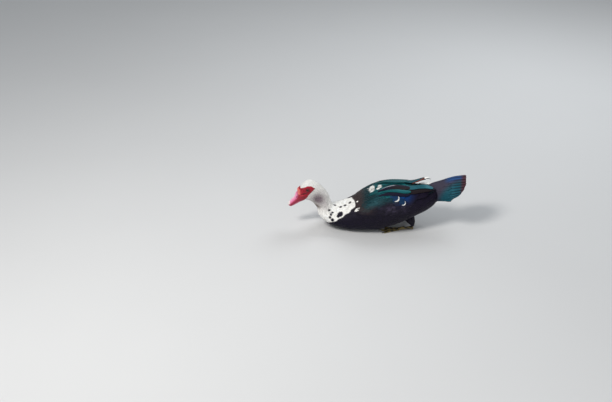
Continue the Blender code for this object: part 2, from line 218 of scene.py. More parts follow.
def nearest(place):
    """Distance from the stern and share of the girth of the coat's point closest to a place in mm."""
    gap = ((coat_grid[..., :3] - np.array(place, float)) ** 2).sum(axis=-1)
    i, j = np.unravel_index(gap.argmin(), gap.shape)
    return i * ROW_STEP, j / COLUMNS


def angle_at(p, q):
    return turn[np.clip((p / ROW_STEP).astype(int), 0, len(turn) - 1), ((q % 1.0) * COLUMNS).astype(int)]


def girth_at(p):
    return np.interp(p, even, girth[:, -1])


# Markings
# A pied drake: a white head, neck and breast with black spots, grey on the cheek and throat that is partly
# painted shade, a brown mantle, green-glossed wings and back with painted sheen on top of the back, a blue
# wing patch and a plum-black flank and rump. Skin and feathers share them.
def tint(code):
    """An sRGB hex colour as linear red, green and blue."""
    value = np.array([int(code[i:i + 2], 16) for i in (0, 2, 4)]) / 255
    return np.where(value <= 0.04045, value / 12.92, ((value + 0.055) / 1.055) ** 2.4)


def mix(first, second, share):
    return first + (second - first) * np.asarray(share)[..., None]


WHITE = tint("F1EFEA")
MAUVE_AND_SHADE = tint("6E5C66")
THROAT_GREY_AND_SHADE = tint("64554F")
CHEEK_FLECK = tint("3A2D35")
VIOLET_BLACK = tint("080420")
FLANK = tint("140F20")
PLUM = tint("140C22")
FLANK_STREAK = tint("453E52")
MANTLE = tint("33292A")
TEAL = tint("08333A")
# Teal on top of the back, brighter than the wing's teal: the feathers' own green gloss with painted sheen
# from the light above.
LIT_BACK_TEAL = tint("0E5A60")
BLUE = tint("0E3A76")
# The left end of the white breast in side view: heights, and the y of the edge at each.
WHITE_EDGE_HEIGHT = (0, 30, 44, 54, 69, 85, 101, 113, 120)
WHITE_EDGE = (-235, -200, -176, -159, -138, -114, -93, -82, -79)
# White feathers in the dark coat: a place and radius each, in mm.
WHITE_PATCHES = ((11, -13, 160, 9), (-1, -14, 160, 13), (-13, -14, 159, 13), (-24, -14, 158, 10),
                 (12, 10, 170, 7), (2, 17, 173, 9), (-8, 17, 173, 7), (31, -73, 121, 4.5),
                 (72, -74, 105, 7.5), (-56, 24, 160, 9), (-68, -62, 112, 6))
# Black spots on the white breast: the left side as seen, the right side its own.
BLACK_SPOTS = ((41, -186, 86, 6), (46, -174, 79, 4.8), (53, -180, 73, 4.8), (59, -184, 63, 5.4),
               (65, -174, 55, 7.2), (58, -142, 78, 12), (63, -150, 72, 7.2), (1, -163, 89, 6),
               (20, -140, 90, 6), (17, -122, 96, 6.6), (11, -102, 106, 7.2), (-44, -188, 82, 6),
               (-60, -170, 62, 7.8), (-56, -146, 80, 9.6), (-46, -128, 84, 6), (-60, -112, 86, 7.2),
               (-70, -150, 52, 6), (-18, -214, 60, 6), (30, -206, 50, 5.4), (22, -166, 98, 4.5),
               (31, -209, 114, 2.5), (34, -204, 92, 2.5), (41, -183, 94, 2.5), (-30, -206, 108, 2.5))
# Soft clouds of colour in side view: centre (y, z) and reach (y, z) in mm. The cheek, its trail and the chin
# carry grey that is partly the feathers' own and partly painted shade under the head.
CHEEK = (-231, 131, 31, 28)
CHEEK_TRAIL = (-200, 100, 20, 18)
CHIN = (-238, 95, 17, 11)
BLUE_PATCH = (113, 164, 27, 19)
GREY_STREAKS = (72, 124, 52, 20)


def split(points):
    """The x, y and z of an array of places, each as an array of its own."""
    return np.moveaxis(points, -1, 0)


def cloud(y, z, place):
    """1 at an oval's centre, falling off all round as a bell curve."""
    centre_y, centre_z, reach_y, reach_z = place
    return np.exp(-((y - centre_y) / reach_y) ** 2 - ((z - centre_z) / reach_z) ** 2)


def close_to(points, places):
    """1 within the radius of any of the places and 0 outside, with a wavering, slightly soft outline."""
    x, y, z = split(points)
    waver = 1 + 0.25 * np.sin(y * 1.1 + 2) * np.sin(z * 1.3 + x * 0.7) + 0.15 * np.sin(y * 2.3 + z * 0.4)
    gaps = [((points - place[:3]) ** 2).sum(axis=-1) / place[3] ** 2 for place in places]
    return 1 - ease(np.min(gaps, axis=0) * waver, 0.78, 1.2)


def behind_breast(points):
    """Distance in mm behind the white breast's edge, which lies further forward on the spine and
    wavers a little."""
    x, y, z = split(points)
    edge = np.interp(z, WHITE_EDGE_HEIGHT, WHITE_EDGE)
    return y - edge + 0.25 * np.clip(25 - x, 0, 40) + 2 * np.sin(z / 3)


def markings(points):
    """Colour and gloss of the plumage at places in mm: zones laid over each other with soft edges."""
    x, y, z = split(points)
    white = (1 - ease(behind_breast(points), -0.8, 0.8)) * (1 - close_to(points, BLACK_SPOTS))
    white = np.maximum(white, close_to(points, WHITE_PATCHES))
    # The grey cheek: grey feathering with painted shade under the head, and dark flecks in it.
    cheek = 0.9 * cloud(y, z, CHEEK) * (y < -190)
    mottle = np.sin(y * 0.37 + 1 + 1.6 * np.sin(z * 0.19)) * np.sin(z * 0.41 + 1.9 * np.sin(y * 0.16))
    flecks = 0.75 * ease(-mottle, 0.35, 0.75) * ease(cheek, 0.3, 0.75) * ease(y, -262, -240)
    cheek = cheek * (0.82 + 0.18 * mottle) + 0.22 * cloud(y, z, CHEEK_TRAIL)
    throat = cloud(y, z, CHIN)
    blue = cloud(y, z, BLUE_PATCH)
    on_back = ease(y, -5, 25) * (1 - ease(y, 205, 235)) * (1 - ease(np.abs(x), 36, 50) * ease(y, 110, 140))
    streak = cloud(y, z, GREY_STREAKS) * (0.5 + 0.5 * np.sin(y * 0.5 + z * 0.9))
    above_flank = z - 0.42 * np.clip(y, -50, 50)
    layers = (
        (VIOLET_BLACK, 1 - ease(z, 15, 62), 0.3),
        (PLUM, ease(y, 100, 150), 0.4),
        (FLANK_STREAK, 0.8 * streak, 0.2),
        (MANTLE, ease(z, 92, 116) * (1 - ease(y, -38, 12)), 0.15),
        (TEAL, ease(above_flank, 118, 142) * ease(y, -64, -30) * (1 - ease(y, 90, 135)), 0.7),
        (LIT_BACK_TEAL, ease(z, 158, 171) * on_back, 0.75),
        (BLUE, blue * ease(np.abs(x), 44, 62), 0.75),
        (WHITE, white, 0.0),
        # Grey feathering and painted shade on the cheek and throat.
        (MAUVE_AND_SHADE, np.clip(cheek * 1.35, 0, 0.94) * white, 0.0),
        (CHEEK_FLECK, flecks * white, 0.0),
        (THROAT_GREY_AND_SHADE, np.clip(throat, 0, 0.85) * white, 0.0),
    )
    colour = np.broadcast_to(FLANK, points.shape)
    gloss = np.full(y.shape, 0.25)
    for shade, share, shine in layers:
        colour = mix(colour, shade, share)
        gloss = gloss + (shine - gloss) * share
    return colour, gloss


# The red face
# Bare skin runs from the bill round the eye in thick lumps, deep red on the cheek and salmon at the bill,
# with painted shade in its hollows and round the eye and a painted highlight on the knob's lumps. It lies at
# the coat's own surface, while the skin under the feathers lies deeper.
# The bare mask's upper edge (y values, then the z of each) and rear edge (z values, then the y of each).
MASK_TOP = ((-330, -310, -304, -289, -273, -261, -245), (205, 200, 172, 178, 187, 187, 179))
MASK_REAR = ((110, 117, 131, 148, 163, 179), (-289, -287, -277, -269, -257, -243))
RED = tint("A60626")
DEEP_RED = tint("5E0814")
SALMON = tint("EC8476")
EYE_CENTRE = (21.2, -273.0, 169.0)
EYE_RADIUS = 7.0
GAZE = (0.93, -0.33, 0.14)
SOCKET_GAP = 1.6
LID_OPENING = (math.radians(50), math.radians(40))
LID_THICKNESS = 1.25
LID_STAND_OFF = 0.15
LID_PUFF = 1.1
LID_PUFF_REACH = 1.8
LUMPS = 420
# Two ridges and a fold, each along a line in side view: height, a place (y, z) on the line, its
# slope, its breadth, and the distances forward between which it rises.
BROW_RIDGE = (1.6, -273, 182, 0.16, 3.2, 250, 262)
CHEEK_FOLD = (-1.8, -287, 151, 0.42, 2.2, 268, 280)
MOUTH_RIDGE = (1.7, -296, 141, 0.30, 2.6, 276, 290)
COAT_DEPTH = {"stern": 4, "vent": 8, "rump": 9, "breast": 9, "neck_root": 6, "neck_high": 5,
              "crown_back": 3.2, "eye": 2.4, "face_end": 2.2}
# Under the wing the skin rises by a share of the wing's own lift. At the bill's root it sinks inside.
WING_BED_SHARE = 0.45
WING_BED_END = 150
FRONT_SINK = 9.0


def bareness(points, beyond=0.0):
    """1 on the bare face and 0 under feathers, soft over a few mm at the mask's edge. The edge can be
    taken some mm beyond where the skin is bare."""
    top = np.interp(points[..., 1], *MASK_TOP)
    rear = np.interp(points[..., 2], *MASK_REAR)
    inside = np.minimum(top - points[..., 2], (rear - points[..., 1]) * 0.9)
    return ease(inside + beyond, -1.5, 2.0)


def eye_frame(side):
    """Centre, gaze, forward and upward directions of one eye."""
    gaze = unit(np.array(GAZE) * (side, 1, 1))
    forward = unit(np.array([0.0, -1.0, 0.0]) + gaze * gaze[1])
    upward = unit(np.array([0.0, 0.0, 1.0]) - gaze * gaze[2])
    forward = unit(forward - upward * (forward @ upward))
    return np.array(EYE_CENTRE) * (side, 1, 1), gaze, forward, upward


def ridge_relief(y, z, ridge):
    """A long low ridge, or a fold where its height is negative: a bell curve across its line."""
    height, line_y, line_z, slope, breadth, start, full = ridge
    off_line = z - (line_z + (y - line_y) * slope)
    return height * np.exp(-(off_line / breadth) ** 2) * ease(-y, start, full)


def face_relief(points):
    """Height of the bare skin in mm: the highest of many half-round lumps, with a brow, a ridge over
    the mouth, a fold in the cheek and a low knob at the bill. The forehead is smoother."""
    rng = np.random.default_rng(11)
    p = rng.uniform(section_at["crown_back"], LENGTH - 1, LUMPS * 4)
    q = rng.uniform(0, 1, LUMPS * 4)
    centres, _ = on_body(p, q)
    centres = centres[bareness(centres) > 0.4][:LUMPS]
    front = ease(-centres[:, 1], 284, 312) * ease(centres[:, 2], 128, 146)
    front = front * (1 - 0.6 * ease(centres[:, 2], 164, 182))
    radius = rng.uniform(1.5, 2.7, len(centres)) * (1 + 0.5 * front)
    height = rng.uniform(0.35, 1.25, len(centres)) * (1 + 1.1 * front)
    gap = ((points[:, None, :] - centres[None]) ** 2).sum(axis=-1)
    lumps = (height * np.sqrt(np.clip(1 - gap / radius**2, 0, 1))).max(axis=1)
    y, z = points[:, 1], points[:, 2]
    brow, fold, ridge = (ridge_relief(y, z, line) for line in (BROW_RIDGE, CHEEK_FOLD, MOUTH_RIDGE))
    knob = 2.6 * ease(-y, 298, 312) * ease(z, 136, 150) * (1 - ease(z, 160, 180))
    forehead = ease(z, 160, 176) * ease(-y, 296, 305)
    return (lumps + brow + ridge + knob) * (1 - 0.8 * forehead) + fold


def make_object(name, vertices, quads):
    """A smooth-shaded mesh from arrays: vertices in mm and four-sided faces, all turned outwards."""
    a, b, c, d = (vertices[quads[:, n]] for n in range(4))
    outward = np.einsum("ij,ij->i", np.cross(a, b), c) + np.einsum("ij,ij->i", np.cross(a, c), d)
    if outward.sum() < 0:
        quads = quads[:, ::-1]
    mesh = bpy.data.meshes.new(name)
    mesh.vertices.add(len(vertices))
    mesh.vertices.foreach_set("co", (vertices * MM).astype(np.float32).ravel())
    mesh.loops.add(quads.size)
    mesh.loops.foreach_set("vertex_index", quads.astype(np.int32).ravel())
    mesh.polygons.add(len(quads))
    mesh.polygons.foreach_set("loop_start", (np.arange(len(quads)) * 4).astype(np.int32))
    mesh.update(calc_edges=True)
    mesh.validate()
    mesh.shade_smooth()
    thing = bpy.data.objects.new(name, mesh)
    bpy.context.scene.collection.objects.link(thing)
    return thing


def tube_faces(rings, sides):
    """Faces of a tube of rings, each end closed by rungs from a point to the one across the ring."""
    i, j = np.meshgrid(np.arange(rings - 1), np.arange(sides), indexing="ij")
    k = (j + 1) % sides
    wall = np.stack([i * sides + j, i * sides + k, (i + 1) * sides + k, (i + 1) * sides + j], axis=-1)
    rung = np.arange(sides // 2 - 1)
    start = np.stack([rung, sides - 1 - rung, sides - 2 - rung, rung + 1], axis=-1)
    end = start[:, ::-1] + (rings - 1) * sides
    return np.concatenate([wall.reshape(-1, 4), start, end])


def closed_object(name, points):
    """One closed tube from rings of points."""
    return make_object(name, points.reshape(-1, 3), tube_faces(*points.shape[:2]))


def paint(thing, colour, **amounts):
    """Store a colour and any amounts on the vertices: one for all of them, or one for each."""
    number = len(thing.data.vertices)
    whole = np.ones((number, 4))
    whole[:, :3] = np.reshape(colour, (-1, 3))
    attribute = thing.data.attributes.new("colour", "FLOAT_COLOR", "POINT")
    attribute.data.foreach_set("color", whole.astype(np.float32).ravel())
    for name, values in amounts.items():
        attribute = thing.data.attributes.new(name, "FLOAT", "POINT")
        each = np.broadcast_to(np.ravel(values), number)
        attribute.data.foreach_set("value", each.astype(np.float32))


def vertex_places(thing):
    """The mesh's vertices in mm."""
    places = np.empty(len(thing.data.vertices) * 3, np.float32)
    thing.data.vertices.foreach_get("co", places)
    return places.reshape(-1, 3).astype(float) / MM


def along_body(p, values):
    """Values that are given at named sections, read at distances from the stern."""
    return np.interp(p, [section_at[name] for name in values], list(values.values()))


skin_rows = np.concatenate([np.arange(0.5, section_at["neck_root"], 4.0),
                            np.arange(section_at["neck_root"], section_at["crown_back"], 2.0),
                            np.arange(section_at["crown_back"], LENGTH - 1, 0.8)])
SKIN_COLUMNS = 240
p, q = np.meshgrid(skin_rows, np.arange(SKIN_COLUMNS) / SKIN_COLUMNS, indexing="ij")
surface, normal = on_body(p, q)
flat_places = surface.reshape(-1, 3)
bare = bareness(flat_places)
relief = np.zeros(len(flat_places))
on_face = bare > 0.01
relief[on_face] = face_relief(flat_places[on_face])
wing_bed = WING_BED_SHARE * np.linalg.norm(on_coat(p, q)[0] - surface, axis=-1)
wing_bed = wing_bed * (surface[..., 1] < WING_BED_END)
rise = bare * relief - (1 - bare) * (along_body(p, COAT_DEPTH) - wing_bed).ravel()
rise -= FRONT_SINK * ease(p.ravel(), LENGTH - 4.5, LENGTH - 1)
skin_points = flat_places + normal.reshape(-1, 3) * rise[:, None]
for side in SIDES:
    centre, gaze, forward, upward = eye_frame(side)
    away = skin_points - centre
    lean = np.stack([away @ forward / math.sin(LID_OPENING[0]), away @ upward / math.sin(LID_OPENING[1])])
    outside = np.linalg.norm(lean, axis=0) / EYE_RADIUS
    facing = (away @ gaze > 0) & (np.linalg.norm(away, axis=1) < 2 * EYE_RADIUS)
    socket = facing & (outside < 1.0)
    skin_points[socket] = centre + unit(away[socket]) * (EYE_RADIUS - SOCKET_GAP)
    puffed = facing & (outside >= 1.0) & (outside < LID_PUFF_REACH)
    swell = LID_PUFF * (LID_PUFF_REACH - outside[puffed, None]) / (LID_PUFF_REACH - 1)
    skin_points[puffed] += gaze * swell
skin = closed_object("skin", skin_points.reshape(*p.shape, 3))
# Painted shade: the red deepens towards DEEP_RED in the hollows between the lumps and in the cheek fold, and
# is brightest on the lumps' tops.
face_red = mix(DEEP_RED, RED, ease(relief, -1.0, 1.3))
# Painted shade round the eye: within about 11 mm of its centre the skin darkens towards a dark deep red,
# partly the skin's own darker ring and partly the socket's shade.
beside_eye = np.linalg.norm(flat_places * (0, 1, 1) - np.array(EYE_CENTRE) * (0, 1, 1), axis=1)
face_red = mix(face_red, DEEP_RED * 0.35, 0.85 * (1 - ease(beside_eye, 5.5, 11.5)))
# Salmon on the knob at the bill, strongest on the highest lumps: the knob's own paler skin with a painted
# highlight on its tops.
salmon = ease(-flat_places[:, 1], 286, 309) * ease(flat_places[:, 2], 134, 152) * ease(relief, 0.8, 3.5)
face_red = mix(face_red, SALMON, 0.85 * salmon)
plain, _ = markings(flat_places)
skin_paint = [(skin_points, mix(plain, face_red, bareness(flat_places, 3.5)), bare)]

# Feet and shanks
# A muscovy's feet are broad and webbed with strong hooked claws, in scaly skin blotched yellow-grey
# and black. They are folded under the belly, flat on the ground, the shanks laid back along it.
HEEL = (46.0, 100.0)
FOOT_TURN = math.radians(6.0)
TOE_BREADTH = 7.5
WEB_THICKNESS = 2.2
WEB_HOLLOW = 9.0
HEEL_PAD = 5.0
CLAW_LENGTH = 11.0
TOES = {"inner": (-19.0, 60.0), "middle": (0.0, 76.0), "outer": (18.0, 70.0)}
HOCK = 56.0
SHANK = ((0, -6, 3.4), (0, -1.2, 4.4), (0, 8, 6.2), (0, 28, 6.0), (0, HOCK - 12, 6.6), (0, HOCK, 8.2))
SHANK_RADII = (3.2, 4.4, 6.4, 5.4, 6.4, 7.2)
HIND_TOE = ((-4.0, 1, 3.9), (-7.6, 3, 3.4), (-9.6, 7, 3.6), (-13.0, 13, 3.0), (-15.2, 17, 2.6))
HIND_TOE_RADII = (2.2, 2.6, 3.2, 2.8, 2.4)
HIND_CLAW = ((-15.7, 17.9), (-0.48, 0.88), 0.7)
THIGH = ((0, HOCK - 3, 9.0), (0, HOCK - 4, 22), (-1, HOCK - 7, 32), (-3, HOCK - 14, 47),
         (-4, HOCK - 24, 62))
THIGH_RADII = (6.0, 9.0, 14.0, 20.0, 24.0)
THIGH_COAT = 4.5
THIGH_CORE_LEAST = 3.5
SCALY = tint("7A6A3C")
SCALY_DARK = tint("1E1A18")


def place_foot(points, side):
    """Turn foot points (heel at the origin, toes along -Y) outward and set them at the heel."""
    cosine, sine = math.cos(FOOT_TURN), math.sin(FOOT_TURN)
    x = side * (HEEL[0] + points[..., 0] * cosine - points[..., 1] * sine)
    y = HEEL[1] + points[..., 0] * sine + points[..., 1] * cosine
    return np.stack([x, y, np.maximum(points[..., 2], 0.0)], axis=-1)


def foot_rings():
    """Arcs across the foot, heel to front: three knuckled toes ridged up from the web between them."""
    directions = np.radians([angle for angle, _ in TOES.values()])
    lengths = np.array([length for _, length in TOES.values()])
    a = np.linspace(directions[0] - 0.07, directions[-1] + 0.07, 75)[None, :]
    s = np.linspace(0.03, 1, 34)[:, None]
    reach = np.interp(a, directions, lengths)
    for middle, width in zip((directions[:-1] + directions[1:]) / 2, np.diff(directions)):
        reach = reach - WEB_HOLLOW * np.exp(-((a - middle) / (width * 0.30)) ** 2)
    radius = reach * s
    height = WEB_THICKNESS * (1 - 0.5 * s) + 0.18 * np.sin(radius * 1.6)
    for direction, length in zip(directions, lengths):
        off = radius * np.abs(a - direction)
        knuckles = 1 + 0.10 * np.cos(radius * math.tau / (length / 3.4))
        toe = (6.6 - 2.4 * s) * knuckles * np.sqrt(np.clip(1 - (off / (TOE_BREADTH / 2)) ** 2, 0, 1))
        height = np.maximum(height, toe)
    pad = HEEL_PAD * (a / directions[-1]) * (1 - s) ** 2
    x, y = radius * np.sin(a) + pad, -radius * np.cos(a)
    upper = np.stack([x, y, height], axis=-1)
    return np.concatenate([upper, (upper * (1, 1, 0))[:, ::-1]], axis=1)


def tube_rings(path, radii, sides=24, steps=24):
    """Rings along a smooth path through a few points, each square to the path."""
    known = np.arange(len(path), dtype=float)
    form = np.column_stack([path, radii]).astype(float)
    rows = smooth_curve(known, form, np.linspace(0, known[-1], steps))
    heading = unit(np.gradient(rows[:, :3], axis=0))
    level = unit(np.cross(heading, (0.02, 0.01, 1.0)))
    upright = np.cross(level, heading)
    angle = np.linspace(0, math.tau, sides, endpoint=False)[None, :, None]
    ring = np.cos(angle) * level[:, None] + np.sin(angle) * upright[:, None]
    return rows[:, None, :3] + ring * rows[:, None, 3:]


def claw_rings(start, heading, size):
    """A small hooked cone from the end of a toe, round at the tip."""
    steps = np.array([-2.0, 0.35 * CLAW_LENGTH, 0.75 * CLAW_LENGTH, CLAW_LENGTH]) * size
    path = [(start[0] + step * heading[0], start[1] + step * heading[1], z)
            for step, z in zip(steps, (2.8, 3.3, 2.6, 1.2))]
    return tube_rings(path, (2.0, 2.1, 1.4, 0.4), sides=14, steps=14)


claw_places = []
for angle, length in TOES.values():
    heading = math.sin(math.radians(angle)), -math.cos(math.radians(angle))
    claw_places.append(((length * heading[0], length * heading[1]), heading, 1.0))
claw_places.append(HIND_CLAW)
leg_parts, claw_forms = [], []
thigh_core_radii = np.maximum(np.array(THIGH_RADII) - THIGH_COAT, THIGH_CORE_LEAST)
leg_forms = {"foot": foot_rings(), "shank": tube_rings(SHANK, SHANK_RADII),
             "hind_toe": tube_rings(HIND_TOE, HIND_TOE_RADII, sides=16),
             "thigh": tube_rings(THIGH, thigh_core_radii)}
for side, name in SIDES.items():
    for piece, rings in leg_forms.items():
        placed = place_foot(rings, side)
        leg_parts.append(closed_object(f"{piece}_skin_{name}", placed))
        places = placed.reshape(-1, 3)
        x, y, z = split(places)
        blotch = ease(np.sin(x * 0.31 + 2 * np.sin(y * 0.13)) + np.sin(y * 0.27 + z * 0.5), -0.5, 0.9)
        feathered = np.full(len(places), float(piece == "thigh"))
        colour = mix(mix(SCALY, SCALY_DARK, blotch), FLANK, feathered)
        skin_paint.append((places, colour, 1 - feathered))
    placed_claws = [place_foot(claw_rings(*place), side) for place in claw_places]
    claw_forms += placed_claws if side > 0 else [form[:, ::-1] for form in placed_claws]


def united(body, parts):
    """One closed skin out of overlapping closed forms, by a Boolean union."""
    group = bpy.data.collections.new("leg_forms")
    bpy.context.scene.collection.children.link(group)
    for part in parts:
        group.objects.link(part)
        bpy.context.scene.collection.objects.unlink(part)
    join = body.modifiers.new("union", "BOOLEAN")
    join.operation, join.solver = "UNION", "EXACT"
    join.operand_type, join.collection = "COLLECTION", group
    bpy.context.view_layer.update()
    evaluated = body.evaluated_get(bpy.context.evaluated_depsgraph_get())
    whole = bpy.data.meshes.new_from_object(evaluated)
    body.modifiers.clear()
    body.data = whole
    for part in parts:
        bpy.data.objects.remove(part)
    bpy.data.collections.remove(group)


def painted_as_before(thing, layers):
    """Paint a united mesh: each vertex has the colour and bareness it had before, found by its place.
    A vertex that the union made has those of the closest one."""
    places, colour, bare = (np.concatenate(rows) for rows in zip(*layers))
    keys = [np.round(spots * 20).astype(np.int64) @ (1, 2**20, 2**40)
            for spots in (places, vertex_places(thing))]
    order = np.argsort(keys[0])
    found = order[np.clip(np.searchsorted(keys[0][order], keys[1]), 0, len(order) - 1)]
    made = keys[0][found] != keys[1]
    legs = np.arange(len(layers[0][0]), len(places))
    gap = ((vertex_places(thing)[made][:, None, :] - places[None, legs]) ** 2).sum(axis=-1)
    found[made] = legs[gap.argmin(axis=1)]
    paint(thing, colour[found], bare=bare[found])


united(skin, leg_parts)
painted_as_before(skin, skin_paint)


# The lids ring each eye as a fold of the same skin: a thin tube along the opening's oval edge, just
# off the eyeball.
def lid_rings(side):
    centre, gaze, forward, upward = eye_frame(side)
    around = np.linspace(0, math.tau, 73)
    reach = 1 / np.hypot(np.cos(around) / LID_OPENING[0], np.sin(around) / LID_OPENING[1])
    lean = np.cos(around)[:, None] * forward + np.sin(around)[:, None] * upward
    outward = unit(np.cos(reach)[:, None] * gaze + np.sin(reach)[:, None] * lean)
    along = unit(np.gradient(outward, axis=0))
    beside = np.cross(outward, along)
    turns = np.linspace(0, math.tau, 10, endpoint=False)[None, :, None]
    ring = np.cos(turns) * outward[:, None] + np.sin(turns) * beside[:, None]
    return centre + outward[:, None] * (EYE_RADIUS + LID_STAND_OFF) + ring * LID_THICKNESS


def feed(tree, node, inputs):
    """Give a node its inputs, which are values or the sockets that feed them."""
    for socket, value in dict(inputs).items():
        if isinstance(value, bpy.types.NodeSocket):
            tree.links.new(value, node.inputs[socket])
        else:
            node.inputs[socket].default_value = value


def add_node(tree, kind, inputs=(), **settings):
    """Add one node: settings are its own properties, inputs are values or the sockets that feed it."""
    made = tree.nodes.new(kind)
    for name, value in settings.items():
        setattr(made, name, value)
    feed(tree, made, inputs)
    return made


def new_material(name, **shader_inputs):
    """A material's node tree and its shader, with the settings that are the same all over."""
    made = bpy.data.materials.new(name)
    made.use_nodes = True
    shader = made.node_tree.nodes["Principled BSDF"]
    for socket, value in shader_inputs.items():
        shader.inputs[socket.replace("_", " ")].default_value = value
    return made, made.node_tree, shader


def finish_piece(thing, finish, slot, *nodes):
    """Give a piece its material and its place on the body, and hide the nodes it stands for. slot is not
    used.
    """
    thing.data.materials.clear()
    thing.data.materials.append(finish)
    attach(thing, "root")
    if nodes:
        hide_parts(*nodes)


# Living bird skin, soft and slightly moist where it is bare, pitted by pores about 1.1 mm apart, which
# scatter its highlights. Under the feathers it is dull.
skin_finish, tree, shader = new_material("bare_bird_skin", Specular_IOR_Level=0.38)
colour = add_node(tree, "ShaderNodeAttribute", attribute_name="colour").outputs["Color"]
bare_here = add_node(tree, "ShaderNodeAttribute", attribute_name="bare").outputs["Fac"]
place = add_node(tree, "ShaderNodeTexCoord").outputs["Object"]
pores = add_node(tree, "ShaderNodeTexVoronoi", {"Vector": place, "Scale": 1 / (1.1 * MM)})
blood = add_node(tree, "ShaderNodeTexNoise", {"Vector": place, "Scale": 1 / (6 * MM), "Detail": 3.0})
dapple = add_node(tree, "ShaderNodeMapRange", {"Value": blood.outputs["Fac"], "To Min": 0.78,
                                               "To Max": 1.18})
shaded = add_node(tree, "ShaderNodeVectorMath", {0: colour, 1: dapple.outputs["Result"]},
                  operation="MULTIPLY")
rough = add_node(tree, "ShaderNodeMapRange", {"Value": bare_here, "To Min": 0.8, "To Max": 0.42})
bump = add_node(tree, "ShaderNodeBump", {"Height": pores.outputs["Distance"], "Strength": 0.35,
                                         "Distance": 0.25 * MM})
feed(tree, shader, {"Base Color": shaded.outputs["Vector"], "Roughness": rough.outputs["Result"],
                    "Normal": bump.outputs["Normal"]})
paired_nodes = [f"{part}_{side}" for part in ("thigh", "shank", "foot", "hind_toe", "wing")
                for side in SIDES.values()]
finish_piece(skin, skin_finish, "face_skin", "head", "neck", "trunk", *paired_nodes)
for side, name in SIDES.items():
    lid = closed_object("eyelid_" + name, lid_rings(side))
    paint(lid, mix(RED, DEEP_RED, 0.9), bare=1.0)
    finish_piece(lid, skin_finish, "face_skin")

# Claws of dark horn, grown smooth, with a dull shine from wear on the ground.
claw_finish, tree, shader = new_material("claw_keratin", Roughness=0.42)
place = add_node(tree, "ShaderNodeTexCoord").outputs["Object"]
streak = add_node(tree, "ShaderNodeTexNoise", {"Vector": place, "Scale": 1 / (1.5 * MM), "Detail": 4.0})
horn_tone = add_node(tree, "ShaderNodeMixRGB", {"Fac": streak.outputs["Fac"],
                                                "Color1": (*tint("15110F"), 1),
                                                "Color2": (*tint("4A3F33"), 1)})
feed(tree, shader, {"Base Color": horn_tone.outputs["Color"]})
claw_points = np.stack(claw_forms)
one_claw = tube_faces(*claw_points.shape[1:3])
steps = np.arange(len(claw_forms))[:, None, None] * (claw_points.shape[1] * claw_points.shape[2])
claws = make_object("claws", claw_points.reshape(-1, 3), (one_claw[None] + steps).reshape(-1, 4))
finish_piece(claws, claw_finish, "claw_horn",
             *(f"claw_{toe}_{side}" for toe in (*TOES, "hind") for side in SIDES.values()))

# Eyes
# Wet brown balls, each with a front that swells like a cornea, set in the bare skin and held by the
# lids.
IRIS = tint("4E3016")
IRIS_EDGE = tint("2A150A")
PUPIL = tint("040303")
PUPIL_ANGLE = 0.36
IRIS_ANGLE = 0.84
CORNEA_DOME = 0.7
eye_finish, tree, shader = new_material("wet_eyeball", Roughness=0.08, Specular_IOR_Level=0.15,
                                        Coat_Weight=0.6, Coat_Roughness=0.03)
colour = add_node(tree, "ShaderNodeAttribute", attribute_name="colour").outputs["Color"]
feed(tree, shader, {"Base Color": colour})


def eyeball(side):
    """Rings about the gaze: a ball whose front swells by a dome inside the iris angle."""
    centre, gaze, forward, upward = eye_frame(side)
    polar = np.concatenate([np.linspace(0.02, IRIS_ANGLE, 30), np.linspace(IRIS_ANGLE + 0.05, 3.12, 24)])
    around = np.linspace(0, math.tau, 60, endpoint=False)[None, :]
    radius = EYE_RADIUS + CORNEA_DOME * np.clip(1 - (polar / IRIS_ANGLE) ** 2, 0, 1)
    lean = np.cos(around)[..., None] * forward + np.sin(around)[..., None] * upward
    outward = np.cos(polar)[:, None, None] * gaze + np.sin(polar)[:, None, None] * lean
    streaks = 0.75 + 0.25 * np.sin(around * 23) * np.sin(around * 7 + 1)
    iris = mix(IRIS_EDGE, IRIS, streaks * ease(polar, PUPIL_ANGLE, 0.62)[:, None])
    iris = mix(iris, IRIS_EDGE, ease(polar, 0.74, IRIS_ANGLE)[:, None])
    colour = mix(iris, PUPIL, 1 - ease(polar, PUPIL_ANGLE - 0.02, PUPIL_ANGLE + 0.02)[:, None])
    return centre + outward * radius[:, None, None], colour


for side, name in SIDES.items():
    points, colour = eyeball(side)
    eye = closed_object("eyeball_" + name, points)
    paint(eye, colour)
    finish_piece(eye, eye_finish, "eye", "eye_" + name)

# The bill
# A rose-pink bill of soft horn over bone: a domed upper mandible with slit nostrils, a shallow lower
# one, crimson along the edges and at the root, and a pale hooked nail at the tip. Each section gives
# its top, mouth and bottom lines (y, z) and its half-width.
BILL = {
    "root": ((-303, 162), (-290, 130), (-286, 115), 15.0),
    "base": ((-321, 148), (-308, 122), (-304, 107), 14.6),
    "bridge": ((-328, 130), (-322, 112), (-318, 98), 12.8),
    "spoon": ((-340, 116), (-335, 101.5), (-331, 91), 13.0),
    "shovel": ((-347, 108), (-343, 95.5), (-339, 86.5), 11.6),
    "lip": ((-351.5, 102), (-349, 91.5), (-346, 86), 7.6),
    "point": ((-353.5, 95), (-352.5, 90.5), (-350, 88.5), 3.0),
}
MOUTH_GAP = 0.5
NOSTRIL = (12.4, -318.0, 133.0)
NOSTRIL_AXIS = (0.0, -0.62, -0.78)
NOSTRIL_SIZE = (4.2, 1.5, 2.4)
NAIL_ROWS = (4.05, 6.0)
NAIL_HALF_ANGLE = math.radians(46)
NAIL_RAISE = 0.7
PINK = tint("E48DB2")
# Pale pink for the painted highlight along the bill's ridge.
RIDGE_HIGHLIGHT_PINK = tint("F0B4C8")
ROSE = tint("CB4A72")
CRIMSON = tint("960A2E")
NAIL_TINT = tint("EFE9E2")
# Painted shade for the nostrils, which are shallow dimples in the horn.
NOSTRIL_SHADE = tint("2A0710")
LOWER_BILL_SHARE = 0.86


